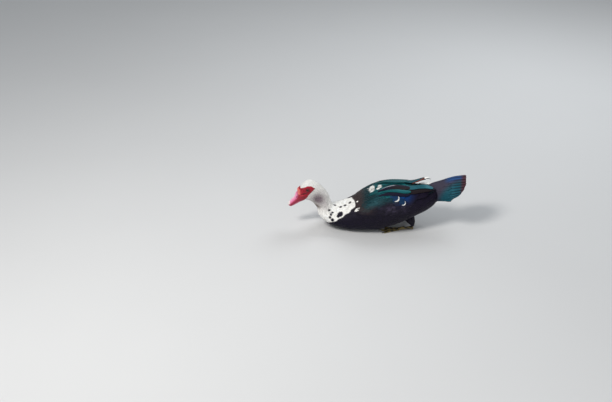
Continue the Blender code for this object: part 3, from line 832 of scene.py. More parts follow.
def bill_surface(row, angle, upper):
    """Points of one mandible: a dome (or tray) whose rise is a power of the sine of the angle, from
    the mouth line out to the top (or bottom) line, and whose half-width is a power of the cosine.
    """
    sizes = np.array([[*top, *mouth, *bottom, half] for top, mouth, bottom, half in BILL.values()])
    rows = smooth_curve(np.arange(len(sizes), dtype=float), sizes, np.atleast_1d(row).astype(float))
    mouth, outer, half = rows[:, 2:4], rows[:, 0:2] if upper else rows[:, 4:6], rows[:, 6:7]
    start = mouth + unit(outer - mouth) * MOUTH_GAP / 2
    rise = np.abs(np.sin(angle)) ** (0.8 if upper else 0.7)
    edge = 1 + 0.05 * np.exp(-(np.sin(angle) / 0.16) ** 2)
    width = half * (1.0 if upper else LOWER_BILL_SHARE) * edge
    across = width * np.sign(np.cos(angle)) * np.abs(np.cos(angle)) ** 0.75
    side = start[:, None, :] + (outer - start)[:, None, :] * rise[..., None]
    return np.concatenate([across[..., None], side], axis=-1)


def bill_paint(row, angle, upper, nostril):
    """Pink over the ridge with a painted highlight along its top, rose down the sides, crimson at the root
    and edges, painted shade in the nostrils.
    """
    row, height = row[:, None], np.abs(np.sin(angle))
    colour = mix(ROSE, PINK, ease(height, 0.15, 0.75) * ease(row, 0.1, 1.3))
    # A painted highlight: pale pink along the top of the upper mandible's ridge.
    colour = mix(colour, RIDGE_HIGHLIGHT_PINK, ease(height, 0.8, 1.0) * ease(row, 0.8, 2.2) * upper)
    root = 1 - ease(row + 0.9 * height, 0.9, 1.9)
    colour = mix(colour, CRIMSON, np.clip(root + 0.8 * (1 - ease(height, 0.1, 0.4)), 0, 1))
    colour = mix(colour, NAIL_TINT, 0.9 * upper * ease(row, 3.7, 4.5) * ease(height, 0.12, 0.40))
    if not upper:
        colour = mix(colour, CRIMSON, 0.55)
    # Painted shade darkens the nostril dimples as if they were deep openings.
    return mix(colour, NOSTRIL_SHADE, np.clip(nostril * 1.2, 0, 1))


def keratin(name, roughness, grain):
    """Smooth moist horn, with fine growth streaks a fraction of a mm across as faint tone and bump."""
    made, tree, shader = new_material(name, Roughness=roughness, Coat_Weight=0.15, Coat_Roughness=0.3)
    colour = add_node(tree, "ShaderNodeAttribute", attribute_name="colour").outputs["Color"]
    place = add_node(tree, "ShaderNodeTexCoord").outputs["Object"]
    stretched = add_node(tree, "ShaderNodeMapping", {"Vector": place, "Rotation": (math.radians(-38), 0, 0),
                                                     "Scale": (1.0, 0.25, 1.0)})
    streak = add_node(tree, "ShaderNodeTexNoise", {"Vector": stretched.outputs["Vector"],
                                                   "Scale": 1 / (grain * MM), "Detail": 4.0})
    tone = add_node(tree, "ShaderNodeMapRange", {"Value": streak.outputs["Fac"], "To Min": 0.84,
                                                 "To Max": 1.14})
    shaded = add_node(tree, "ShaderNodeVectorMath", {0: colour, 1: tone.outputs["Result"]},
                      operation="MULTIPLY")
    bump = add_node(tree, "ShaderNodeBump", {"Height": streak.outputs["Fac"], "Strength": 0.3,
                                             "Distance": 0.2 * MM})
    feed(tree, shader, {"Base Color": shaded.outputs["Vector"], "Normal": bump.outputs["Normal"]})
    return made


bill_finish = keratin("soft_bill_keratin", roughness=0.38, grain=1.6)
nail_finish = keratin("pale_nail_keratin", roughness=0.34, grain=0.9)
bill_rows = np.linspace(0, 6, 90)
arc = np.linspace(0, math.pi, 64)[None, :]
for name, upper in (("bill_upper", True), ("bill_lower", False)):
    points = bill_surface(bill_rows, arc, upper)
    along, across = np.gradient(points, axis=0), np.gradient(points, axis=1)
    outward = unit(np.cross(along, across))
    outward *= np.sign((outward * (points - points.mean(axis=1, keepdims=True))).sum(axis=-1).mean())
    nostril = np.zeros(points.shape[:2])
    if upper:
        for side in SIDES:
            away = points - np.array(NOSTRIL) * (side, 1, 1)
            lengthways = away @ unit(np.array(NOSTRIL_AXIS))
            sideways = np.sqrt(np.clip((away**2).sum(axis=-1) - lengthways**2, 0, None))
            nostril += np.exp(-(lengthways / NOSTRIL_SIZE[0]) ** 4 - (sideways / NOSTRIL_SIZE[1]) ** 2)
    rim = np.clip(4 * nostril * (1 - nostril), 0, 1) * 0.35
    points = points + outward * (rim - NOSTRIL_SIZE[2] * nostril)[..., None]
    mandible = closed_object(name + "_horn", points)
    mandible.data.set_sharp_from_angle(angle=math.radians(50))
    paint(mandible, bill_paint(bill_rows, arc, upper, nostril))
    finish_piece(mandible, bill_finish, "bill_horn", name)

# The nail is a shield of harder, paler horn that caps the tip and hooks over its edge.
nail_rows = np.linspace(*NAIL_ROWS, 34)
share = (nail_rows - NAIL_ROWS[0]) / (NAIL_ROWS[1] - NAIL_ROWS[0])
reach = NAIL_HALF_ANGLE * np.sqrt(np.clip(1 - (1 - share / 0.45) ** 2, 0.015, 1)) * (share < 0.45)
reach = np.where(share < 0.45, reach, NAIL_HALF_ANGLE * (1 + 0.35 * ease(share, 0.45, 1)))
spread = np.linspace(-1, 1, 28)[None, :]
nail_top = bill_surface(nail_rows, math.pi / 2 + reach[:, None] * spread, True)
core = bill_surface(nail_rows, np.full((1, 28), math.pi / 2), True) * (0, 1, 1)
down = unit(bill_surface(nail_rows, np.full((1, 28), 0.0), True) * (0, 1, 1) - core)
raised = NAIL_RAISE * (1 - spread**6)[..., None] * ease(share, 0, 0.15)[:, None, None]
nail_points = np.concatenate([nail_top - down * raised, (nail_top + down * 1.0)[:, ::-1]], axis=1)
nail = closed_object("bill_nail_horn", nail_points)
paint(nail, NAIL_TINT)
finish_piece(nail, nail_finish, "nail_horn", "bill_nail")

# Body feathers
# Each feather is a thin cambered vane with a shaft, rooted in the skin and lying back over the roots
# behind it. Smallest on the face, they grow longer down the neck and over the breast and trunk.
# A cut gives a vane's cross-section: places across it from edge to edge and back under, how far each
# is lifted in shares of the thickness, and where its rings lie along it.
CUTS = {
    "tuft": ((-1, 0, 1, 0), (0, 1, 0, -0.5), (0.0, 0.3, 0.66, 0.9, 1.0)),
    "contour": ((-1, -0.5, 0, 0.5, 1, 0), (0, 0.8, 1.3, 0.8, 0, -1), (0.0, 0.25, 0.52, 0.76, 0.92, 1.0)),
    "covert": ((-1, -0.6, -0.12, 0, 0.12, 0.6, 1, 0), (0, 0.7, 0.9, 1.8, 0.9, 0.7, 0, -1),
               (0.0, 0.16, 0.34, 0.52, 0.68, 0.82, 0.91, 0.97, 1.0)),
    "flight": ((-1, -0.7, -0.36, -0.07, 0, 0.07, 0.36, 0.7, 1, 0),
               (0, 0.6, 0.9, 1, 2.4, 1, 0.9, 0.6, 0, -1),
               (0.0, 0.06, 0.12, 0.18, 0.24, 0.3, 0.36, 0.42, 0.48, 0.54, 0.6, 0.66, 0.72, 0.78, 0.84,
                0.89, 0.93, 0.965, 0.99, 1.0)),
    "broad": ((-1, -0.88, -0.75, -0.6, -0.45, -0.25, -0.07, 0, 0.07, 0.25, 0.45, 0.6, 0.75, 0.88, 1, 0),
              (0, 0.4, 0.6, 0.8, 0.9, 1, 1, 2.4, 1, 1, 0.9, 0.8, 0.6, 0.4, 0, -1),
              (0.0, 0.06, 0.12, 0.18, 0.24, 0.3, 0.36, 0.42, 0.48, 0.53, 0.58, 0.62, 0.66, 0.7, 0.74, 0.78,
               0.82, 0.855, 0.89, 0.92, 0.945, 0.965, 0.98, 0.992, 1.0)),
}
# A body feather's length and breadth on the unwrap of the skin.
PATCH = (0.003, 0.003)
# Unevenness of a vane's edge, the share of it that plunges to the skin, and how much it thins.
WAVY_EDGE = 0.03
EDGE_WAVES = 31
PLUNGE_SHARE = 0.24
TIP_THINNING = 0.6
# How much darker a vane is along its edges, at its tip and on its shaft, with a finer shaft on those
# with a simple cut.
EDGE_SHADE = 0.15
TIP_SHADE = 0.12
SHAFT_SHADE = 0.3
FINE_SHAFT_SHADE = 0.06
VANE_END = 1.012


def outline(t, widest, blunt, narrow):
    """Half-width along a vane: eased up from the root to the widest place, then a round end."""
    end = np.clip((t - blunt) / (VANE_END - blunt), 0, 1)
    return (narrow + (1 - narrow) * ease(t, 0, widest)) * np.sqrt(np.clip(1 - end**2.4, 0, 1))


def lay(name, slot, surface, cut, root, tip, width, colour, gloss, bake, nodes=(), base=0.0, rise=0.0,
        plunge=0.0, camber=0.5, thickness=0.3, roll=0.0, widest=0.55, blunt=0.6, narrow=0.3, shade=None,
        patch=PATCH):
    """One piece of solid feathers over a surface of two measures (u, v), one for each row of the arrays.

    The shaft runs straight in (u, v) from root to tip. The vane spreads square to it by its half-width,
    turned into steps of u and v by the surface's mm per u and per v, with a slightly uneven edge.
    Height is base plus rise along the vane, less a plunge to the skin at the root and a camber that
    grows with the square of the place across, plus a roll. bake is each root's place on the unwrap of
    the skin: distance and share of the girth. patch is a feather's length and breadth there.
    """
    across, lift, t = (np.array(row, float) for row in CUTS[cut])
    number = len(root[0])
    colour, gloss = np.broadcast_to(colour, (number, 3)), np.broadcast_to(gloss, number)
    pick = [np.broadcast_to(np.asarray(value, float), number)[:, None]
            for value in (*root, *tip, width, base, rise, plunge, camber, roll, thickness)]
    root_u, root_v, tip_u, tip_v, half, base, rise, plunge, camber, roll, thickness = pick
    u = root_u + (tip_u - root_u) * t
    v = root_v + (tip_v - root_v) * t
    # The surface is measured over short steps. u is in mm, apart from the tail, where it is a share.
    long, step = (0.4 if np.abs(tip_u - root_u).max() > 2 else 0.004), 0.002
    per_u = np.linalg.norm(surface(u + long, v)[0] - surface(u - long, v)[0], axis=-1) / (2 * long)
    per_v = np.linalg.norm(surface(u, v + step)[0] - surface(u, v - step)[0], axis=-1) / (2 * step)
    way = np.stack([(tip_u - root_u) * per_u, (tip_v - root_v) * per_v])
    way = way / np.linalg.norm(way, axis=0) * np.sign(tip_u - root_u)
    wear = np.random.default_rng(number).uniform(0, math.tau, (number, 1))
    uneven = 1 + WAVY_EDGE * np.sin(EDGE_WAVES * t + wear) * ease(t, 0.2, 0.5)
    reach = half * outline(t, widest, blunt, narrow) * uneven
    spot, normal = surface(u[..., None] - across * (reach * way[1] / per_u)[..., None],
                           v[..., None] + across * (reach * way[0] / per_v)[..., None])
    height = (base + rise * t - plunge * np.clip(1 - t / PLUNGE_SHARE, 0, 1) ** 2)[..., None]
    height = height - camber[..., None] * across**2 + roll[..., None] * across
    height = height + thickness[..., None] * lift * (1 - TIP_THINNING * t[:, None])
    points = spot + normal * height[..., None]
    points[..., 2] = np.maximum(points[..., 2], BELLY_FLAT)
    faces = tube_faces(len(t), len(across))
    shift = np.arange(number)[:, None, None] * (len(t) * len(across))
    thing = make_object(name, points.reshape(-1, 3), (faces[None] + shift).reshape(-1, 4))

    length = np.linalg.norm(points[:, -1].mean(axis=1) - points[:, 0].mean(axis=1), axis=-1)
    sideways = across * reach[..., None]
    lengthways = np.broadcast_to(length[:, None, None] * t[:, None], sideways.shape)
    baked = np.stack([np.broadcast_to(bake[0][:, None, None] / LENGTH - patch[0] * (t[:, None] - 0.5),
                                      sideways.shape),
                      bake[1][:, None, None] + patch[1] * 0.5 * across + 0 * sideways], axis=-1)
    corners = np.empty(len(thing.data.loops), np.int32)
    thing.data.loops.foreach_get("vertex_index", corners)
    for layer, values in (("OFBake", baked), ("barbs", np.stack([sideways, lengthways], axis=-1))):
        spread = thing.data.uv_layers.new(name=layer)
        spread.data.foreach_set("uv", values.reshape(-1, 2)[corners].astype(np.float32).ravel())

    shaft = (SHAFT_SHADE if len(across) > 8 else FINE_SHAFT_SHADE) * (across == 0)
    edge = EDGE_SHADE * np.abs(across) ** 3 + TIP_SHADE * ease(t, 0.86, 1.0)[:, None] + shaft
    tone = colour[:, None, None, :] * (1 - edge)[None, ..., None]
    if shade:
        tone = shade(tone, points, t[None, :, None], across[None, None, :])
    shine = np.broadcast_to(gloss[:, None, None], sideways.shape)
    paint(thing, np.broadcast_to(tone, points.shape), gloss=shine)
    finish_piece(thing, feather_finish, slot, *nodes)


# Feather vanes are sheets of fine barbs hooked together, slanting out from the shaft. Real barbs lie
# 0.3 mm apart; they are drawn 1.1 mm apart so that they show. Dark vanes have a green or blue metal
# gloss from their structure, white ones are dull and silky.
BARB_SPACING = 1.1
feather_finish, tree, shader = new_material("feather_vane", Sheen_Weight=0.03, Sheen_Roughness=0.4,
                                            Specular_IOR_Level=0.2)
colour = add_node(tree, "ShaderNodeAttribute", attribute_name="colour").outputs["Color"]
gloss = add_node(tree, "ShaderNodeAttribute", attribute_name="gloss").outputs["Fac"]
vane = add_node(tree, "ShaderNodeUVMap", uv_map="barbs").outputs["UV"]
place = add_node(tree, "ShaderNodeSeparateXYZ", {"Vector": vane})
aside = add_node(tree, "ShaderNodeMath", {0: place.outputs["X"]}, operation="ABSOLUTE")
slant = add_node(tree, "ShaderNodeMath", {0: place.outputs["Y"], 1: aside.outputs[0]},
                 operation="SUBTRACT")
phase = add_node(tree, "ShaderNodeMath", {0: slant.outputs[0], 1: math.tau / BARB_SPACING},
                 operation="MULTIPLY")
barb = add_node(tree, "ShaderNodeMath", {0: phase.outputs[0]}, operation="SINE")
worn = add_node(tree, "ShaderNodeTexNoise", {"Vector": vane, "Scale": 0.22, "Detail": 3.0})
uneven = add_node(tree, "ShaderNodeMath", {0: worn.outputs["Fac"], 1: 0.5}, operation="MULTIPLY")
level = add_node(tree, "ShaderNodeMath", {0: barb.outputs[0], 1: 0.05, 2: 0.76}, operation="MULTIPLY_ADD")
tone = add_node(tree, "ShaderNodeMath", {0: level.outputs[0], 1: uneven.outputs[0]}, operation="ADD")
shaded = add_node(tree, "ShaderNodeVectorMath", {0: colour, 1: tone.outputs[0]}, operation="MULTIPLY")
metal = add_node(tree, "ShaderNodeMapRange", {"Value": gloss, "To Min": 0.0, "To Max": 0.6})
rough = add_node(tree, "ShaderNodeMapRange", {"Value": gloss, "To Min": 0.72, "To Max": 0.34})
bump = add_node(tree, "ShaderNodeBump", {"Height": barb.outputs[0], "Strength": 0.25,
                                         "Distance": 0.08 * MM})
feed(tree, shader, {"Base Color": shaded.outputs["Vector"], "Metallic": metal.outputs["Result"],
                    "Roughness": rough.outputs["Result"], "Normal": bump.outputs["Normal"]})

# How far apart the rows of body feathers are, in mm, at places along the body.
ROW_SPACING = {"stern": 7.5, "vent": 8.5, "loin": 9.0, "shoulder": 8.0, "breast": 7.0, "crop": 6.0,
               "neck_root": 4.6, "neck_high": 3.4, "crown_back": 2.5, "crown": 2.1, "brow": 1.7}
# A body feather's length, half-width, thickness and flare in row spacings, how far along it shows,
# and how much its length and tone vary.
VANE_OVERLAP = 3.3
VANE_BREADTH = 0.80
VANE_THICKNESS = 0.022
VANE_FLARE = 0.06
ROOT_SLACK = 0.13
SHOWN_SHARE = 0.8
LENGTH_RANGE = (0.92, 1.12)
TONE_RANGE = (0.80, 1.16)
WHITEST = 0.93
PAST_STERN = 6.0


def spacing_at(p):
    return along_body(p, ROW_SPACING)


def staggered(start, end, rng, step=1.0, around=0.92):
    """Roots in staggered rows between two distances from the stern, a little out of line each."""
    rows = [start]
    while rows[-1] < end:
        rows.append(rows[-1] + spacing_at(rows[-1]) * step)
    numbers = [int(round(girth_at(row) / (spacing_at(row) * step * around))) for row in rows]
    q = np.concatenate([(np.arange(n) + 0.5 * (k % 2)) / n for k, n in enumerate(numbers)])
    p = np.repeat(rows, numbers)
    slack = spacing_at(p) * step * ROOT_SLACK
    p = p + rng.normal(0, 1, len(p)) * slack
    q = (q + rng.normal(0, 1, len(p)) * slack / girth_at(p)) % 1.0
    return p, q


def coat(name, slot, surface, cut, start, end, keep, seed, size=1.0, lift=0.0, around=0.92,
         depth=9.0, camber=0.05, slack=0.10, **form):
    """A tract of body feathers: lengths and widths follow the spacing of the rows, colours the
    markings where each feather shows."""
    rng = np.random.default_rng(seed)
    p, q = staggered(start, end, rng, size, around)
    pitch = spacing_at(p) * size
    spots, _ = surface(p, q)
    chosen = keep(p, q, spots)
    p, q, pitch = p[chosen], q[chosen], pitch[chosen]
    length = VANE_OVERLAP * pitch * rng.uniform(*LENGTH_RANGE, len(p))
    shown, _ = surface(p - SHOWN_SHARE * length, q)
    colour, gloss = markings(shown)
    colour = colour * rng.uniform(*TONE_RANGE, len(p))[:, None]
    colour = np.where(gloss[:, None] > 0.05, colour, np.clip(colour, 0, WHITEST))
    swing = rng.normal(0, slack, len(p)) * length / girth_at(p)
    tip = np.maximum(p - length, -PAST_STERN), q + swing
    flare = rng.uniform(0, VANE_FLARE, len(p)) * pitch
    roll = rng.normal(0, 0.02, len(p)) * pitch
    lay(name, slot, surface, cut, (p, q), tip, pitch * VANE_BREADTH, colour, gloss, (p, q),
        base=lift - 0.09 * pitch, rise=0.07 * pitch + flare, plunge=0.8 * depth, camber=camber * pitch,
        thickness=VANE_THICKNESS * pitch, roll=roll, **form)


def by_markings(tone, points, t, across):
    """Colour from where each part of a vane lies, darker along its edges."""
    return markings(points)[0] * (1 - 0.35 * np.abs(across) ** 3 - 0.15 * ease(t, 0.9, 1.0))[..., None]


def white_by_place(tone, points, t, across):
    """Each feather's own tone, white where the white patches lie."""
    return mix(tone, WHITE, close_to(points, WHITE_PATCHES))


def clear_of_wing(p, q, spots, low=0.97, high=-0.02):
    """True outside the folded wings' outline."""
    s, t = wing_place(spots[:, 1], angle_at(p, q))
    return (s <= 0.01) | (t < high) | (t > low)


def on_head(p, q, spots):
    return bareness(spots) < 0.9


def everywhere(p, q, spots):
    return np.ones(len(p), bool)


def near_a_mark(p, q, spots):
    """True where a feather shows part of a black spot or of the edge of the white breast."""
    shown, _ = on_coat(np.maximum(p - 2.6 * spacing_at(p), 0), q)
    behind = behind_breast(shown)
    wide = [(*place[:3], place[3] + 7) for place in BLACK_SPOTS]
    return (close_to(shown, wide) > 0.5) & (behind < 9) | (np.abs(behind) < 8)


def plain_breast(p, q, spots):
    return clear_of_wing(p, q, spots) & ~near_a_mark(p, q, spots)


def marked_breast(p, q, spots):
    return clear_of_wing(p, q, spots) & near_a_mark(p, q, spots)


coat("head_feathers", "white_feathers", on_body, "tuft", section_at["nape"], LENGTH - 3, on_head, seed=1,
     depth=0.8, camber=0.08, around=0.62, slack=0.2, narrow=0.75, blunt=0.3)
coat("neck_feathers", "white_feathers", on_body, "contour", section_at["neck_root"],
     section_at["nape"] + 3, everywhere, seed=2, depth=5.5, camber=0.09, around=0.85)
breast = section_at["shoulder"] + 10, section_at["neck_root"] + 3
coat("breast_feathers", "white_feathers", on_coat, "contour", *breast, plain_breast, seed=3, depth=8.0)
coat("spotted_feathers", "white_feathers", on_coat, "covert", *breast, marked_breast, seed=3,
     depth=8.0, shade=by_markings)
coat("trunk_feathers", "dark_feathers", on_coat, "contour", section_at["hips"] - 10,
     section_at["shoulder"] + 14, clear_of_wing, seed=4)
coat("rump_feathers", "dark_feathers", on_body, "contour", 8.0, section_at["hips"] - 6, everywhere,
     seed=5, depth=7.0)


# Wing coverts
# The folded wing's arm is shingled with small coverts at the shoulder, larger ones behind them, and
# one long row over the flight feathers. Two more on the left have white tips.
FAR_TIP_SHORTER = 14
GREATER_COVERTS = 12
SECONDARIES = 11
PRIMARIES = 5


def side_place(y, up, side):
    """Distance and share of the girth at y mm and degrees up from the flank, on one side."""
    p = np.interp(-np.asarray(y, float), -row_y, even)
    p, up = np.broadcast_arrays(p, np.asarray(up, float))
    column = np.clip((up if side > 0 else 180.0 - up) + 90.0, 0, 359.9)
    i = np.clip((p / ROW_STEP).astype(int), 0, len(share_at) - 1)
    j = column.astype(int)
    f = column - j
    return p, (1 - f) * share_at[i, j] + f * share_at[i, j + 1]


def wing_side(side):
    """The outer face of one folded wing over y mm and the share t down from its upper edge."""
    def skin_place(y, t):
        _, middle, spread, _ = wing_outline(y)
        return side_place(y, np.degrees(middle + spread * (1 - 2 * t)), side)

    def face(y, t):
        bed, _ = on_body(*skin_place(y, t))
        return bed + wing_lift(bed, t, 1.0, side < 0, 0.72)

    def surface(y, t):
        along = face(y + 0.5, t) - face(y - 0.5, t)
        down = face(y, t + 0.01) - face(y, t - 0.01)
        return face(y, t), unit(np.cross(down, along)) * side

    return surface, skin_place


def wing_row(name, side, count, root, tip, width, base, rise, seed, order=0.4, plain=None, shine=0.5,
             cut="flight", patch=(0.08, 0.008), **form):
    """A row of long wing feathers from the back down to the flank, each lying under the one above by
    the step in order. root and tip are (first y, last y, first t, last t) on the wing."""
    rng = np.random.default_rng(seed)
    surface, skin_place = wing_side(side)
    y0, y1 = (np.linspace(*ends[:2], count) + rng.normal(0, 1.2, count) for ends in (root, tip))
    t0, t1 = (np.linspace(*ends[2:], count) + rng.normal(0, 0.004, count) for ends in (root, tip))
    shown, _ = surface(0.3 * y0 + 0.7 * y1, 0.3 * t0 + 0.7 * t1)
    colour, gloss = markings(shown)
    if plain is not None:
        colour, gloss = plain, shine
    colour = colour * rng.uniform(0.85, 1.15, count)[:, None]
    lay(f"{name}_{SIDES[side]}", "flight_feathers", surface, cut, (y0, t0), (y1, t1), width, colour,
        gloss, skin_place(y0, t0), base=base - order * np.arange(count), rise=rise, plunge=3.0,
        patch=patch, **form)


CRESCENT_BLUNT = 0.62


def white_tip(tone, points, t, across):
    """A thin white crescent round the end of the vane, widest at the tip: the end lies outside the
    same rounded outline moved back towards the root."""
    along = np.clip((t - CRESCENT_BLUNT) / (VANE_END - CRESCENT_BLUNT), 0, 1)
    aside = across * np.sqrt(1 - along**2.4)
    return mix(tone, WHITE, ease(np.hypot(along + 0.28, aside + 0.02), 0.95, 1.12) * ease(along, 0.3, 0.62))


def on_wing(start, end):
    """Keeps the roots on either folded wing between two shares of its length."""
    def keep(p, q, spots):
        s, t = wing_place(spots[:, 1], angle_at(p, q))
        return (s > start) & (s < end) & (t > -0.05) & (t < 1.0)

    return keep


coat("lesser_coverts", "dark_feathers", on_coat, "covert", section_at["loin"] - 30,
     section_at["shoulder"] + 20, on_wing(0.0, 0.36), seed=6, size=1.1, lift=0.5, depth=5.0,
     camber=0.07, shade=white_by_place)
coat("median_coverts", "dark_feathers", on_coat, "covert", section_at["hips"] + 20,
     section_at["waist"] + 10, on_wing(0.28, 0.50), seed=7, size=1.6, lift=-0.4, depth=5.0,
     camber=0.07)
for side, name in SIDES.items():
    wing_row("greater_coverts", side, GREATER_COVERTS, (25, 22, 0.08, 0.95), (126, 94, 0.12, 0.94),
             width=9.0, base=-1.6, rise=0.6, seed=21, cut="covert", camber=0.6, thickness=0.4, blunt=0.78,
             shade=by_markings)
    wing_row("secondaries", side, SECONDARIES, (40, 40, 0.10, 0.92), (204, 146, 0.18, 0.95),
             width=9.0, base=-2.4, rise=0.6, seed=22, camber=0.7, thickness=0.45, blunt=0.88,
             shade=by_markings, order=0.3)
    tip_end = WING_END if side > 0 else WING_END - FAR_TIP_SHORTER
    wing_row("primaries", side, PRIMARIES, (96, 88, 0.46, 0.60), (tip_end, 206, 0.35, 0.84),
             width=7.0, base=-4.4, rise=0.4, seed=23, plain=PLUM, camber=0.6, thickness=0.5, blunt=0.9,
             patch=(0.16, 0.012), nodes=(f"wing_tip_{name}",))
wing_row("white_tipped_coverts", LEFT, 2, (42, 80, 0.33, 0.47), (91, 115, 0.60, 0.805),
         width=np.array([15.0, 10.5]), base=-0.3, rise=0.5, seed=24, order=0.0,
         plain=0.7 * mix(TEAL, BLUE, 0.5), shine=0.4, cut="broad", camber=0.4, blunt=CRESCENT_BLUNT,
         shade=white_tip, patch=(0.04, 0.04))

# Tertials
# The innermost wing feathers are long and broad and lie over the folded wing: black, maroon, teal and green
# ones, some with black lower edges that are painted shade. A near-black maroon one below the teal one stands
# in for the shadow under it. The far wing also has a rust one with a white end and a white one.
# A maroon darkened nearly to black as painted shade, for feathers that lie in the shade between the
# tertials.
SHADED_MAROON = tint("10030A")
GREEN = tint("07565A")
TERTIAL_TEAL = tint("08505C")
RUST = tint("662E22")
PALE_EDGE = tint("A4A7AE")
FAR_TERTIAL_END = 196
TERTIAL_PATCH = (0.2, 0.03)


def shaded_lower_edge(tone, points, t, across):
    """Painted shade: black along the edge that faces down the flank, where the vane overhangs the feather
    below.
    """
    return tone * (1 - 0.94 * ease(across, 0.72, 0.86))[..., None]


def pale_edge_then_shade(tone, points, t, across):
    """Black over the first part and along the upper edge, which starts with a pale line. The black is partly
    the feather's own and partly painted shade under the scapulars.
    """
    colour = mix(VIOLET_BLACK, tone, ease(t + 0 * across, 0.30, 0.55))
    colour = mix(colour, VIOLET_BLACK, ease(-across, 0.2, 0.4) * ease(t, 0.3, 0.5))
    return mix(colour, PALE_EDGE, ease(-across, 0.62, 0.72) * ease(t, 0.04, 0.1) * (1 - ease(t, 0.46, 0.56)))


def white_end(tone, points, t, across):
    return mix(tone, WHITE, ease(t + 0 * across, 0.72, 0.78))


# Each one's root and tip (y, share down the wing), half-width, height, colour, gloss and shading.
TERTIALS = (
    ("black_tertial", (-4, 0.20), (132, 0.48), 9.0, 1.3, VIOLET_BLACK, 0.2, None),
    # The shadow tertial is a dark feather that stands in for the shadow under the upper tertial.
    ("shadow_tertial", (74, 0.30), (224, 0.45), 12.0, -0.4, SHADED_MAROON, 0.15, None),
    ("upper_tertial", (62, 0.14), (226, 0.16), 16.0, 0.7, TERTIAL_TEAL, 0.75, shaded_lower_edge),
    ("green_tertial", (2, 0.09), (138, 0.37), 10.5, 1.8, GREEN, 0.75, shaded_lower_edge),
    ("maroon_tertial", (8, 0.00), (136, 0.16), 15.0, 2.1, SHADED_MAROON, 0.12, pale_edge_then_shade),
)
for side in SIDES:
    for name, root, tip, width, base, plain, shine, shade in TERTIALS:
        end = tip[0] if side > 0 else min(tip[0], FAR_TERTIAL_END)
        if side < 0 and name == "maroon_tertial":
            plain, shine, shade = GREEN, 0.75, shaded_lower_edge
        wing_row(name, side, 1, (root[0], root[0], root[1], root[1]), (end, end, tip[1], tip[1]),
                 width=width, base=base, rise=0.3, seed=31, plain=plain, shine=shine, shade=shade,
                 cut="broad", camber=0.25, blunt=0.74, patch=TERTIAL_PATCH)
wing_row("white_ended_tertial", RIGHT, 1, (146, 146, 0.0, 0), (212, 212, 0.02, 0), width=8.0, base=1.0,
         rise=4.5, seed=32, plain=RUST, shine=0.1, camber=1.0, thickness=0.6, blunt=0.88,
         shade=white_end, patch=TERTIAL_PATCH)
root, tip = ([np.atleast_1d(value) for value in side_place(*place, LEFT)]
             for place in ((168, 104), (242, 103)))
lay("white_tertial_right", "white_feathers", on_body, "flight", root, tip, width=7.0, colour=WHITE,
    gloss=0.0, bake=root, base=6.0, rise=6.0, plunge=6.0, camber=0.8, thickness=0.6, blunt=0.88,
    patch=(0.12, 0.02))

# Scapulars
# Long oval feathers that hang from the shoulders over the joint of back and wing, in three rows on
# each side. A row gives its first and last root and tip in y, and its degrees up from the flank.
SCAPULAR_ROWS = (((-22, -30), (42, 26), (90, 74)), ((5, -4), (72, 55), (90, 79)),
                 ((30, 20), (104, 88), (90, 84)))
for side, name in SIDES.items():
    for row, (root_y, tip_y, up) in enumerate(SCAPULAR_ROWS):
        count = 4 - row
        rng = np.random.default_rng(40 + row)
        root, tip = (side_place(np.linspace(*ends, count) + rng.normal(0, 1.5, count),
                                np.linspace(*up, count), side) for ends in (root_y, tip_y))
        # The scapulars take the back's teal with its painted sheen.
        tones = LIT_BACK_TEAL * rng.uniform(0.7, 1.15, count)[:, None]
        lay(f"scapulars_{row + 1}_{name}", "dark_feathers", on_coat, "broad", root, tip, width=11.0,
            colour=tones, gloss=0.6, bake=root, base=2.2 - 0.6 * row - 0.25 * np.arange(count), rise=0.6,
            plunge=3.0, camber=0.7, shade=white_by_place, patch=(0.05, 0.012))

# The tail
# Eighteen broad stiff feathers fan out like a low roof, the middle pair on top, over a root wrapped
# in coverts above and below.
TAIL_ROOT, TAIL_END = 206.0, 364.0
TAIL_HALF_WIDTHS = (30.0, 76.0)
TAIL_FAN = math.pi / 2 * 0.93
TAIL_ROUNDING = 0.30
# The ridge's height at the root and its climb, its arch, and the sides' drop with their share of it.
TAIL_RIDGE = (163, 61)
TAIL_ARCH = 15
TAIL_DROP = (63, 7)
TAIL_FEATHERS = 18
TAIL_GREY = tint("3B3748")
TAIL_BLUE = tint("22508A")
TAIL_TEAL = tint("0E4F5E")
TAIL_TIP = tint("502C36")
TAIL_STREAK = tint("0E0A0E")


def tail_points(s, a, depth):
    """Roof-shaped fan: s runs from root to end, a from the right edge to the left. The ridge rises in
    an arch, the sides drop with a power of a, and the end is rounded."""
    half = TAIL_HALF_WIDTHS[0] + (TAIL_HALF_WIDTHS[1] - TAIL_HALF_WIDTHS[0]) * ease(s, 0.0, 0.75)
    round_end = TAIL_ROUNDING * np.abs(a) ** 2.4
    y = TAIL_ROOT + (TAIL_END - TAIL_ROOT) * s * (1 - round_end * ease(s, 0.3, 1.0))
    arch = np.sin(math.pi * np.clip(s, 0, 1))
    ridge = TAIL_RIDGE[0] + TAIL_RIDGE[1] * s + TAIL_ARCH * arch
    z = ridge - (TAIL_DROP[0] + TAIL_DROP[1] * arch) * np.abs(a) ** 1.25
    thickness = (26 * (1 - ease(s, 0, 0.55)) + 4.5 - 1.5 * s) * (1 - 0.75 * np.clip(np.abs(a), 0, 1) ** 6)
    x = half * np.sin(a * TAIL_FAN) / math.sin(TAIL_FAN)
    return np.stack([x, y, z - thickness * depth], axis=-1)


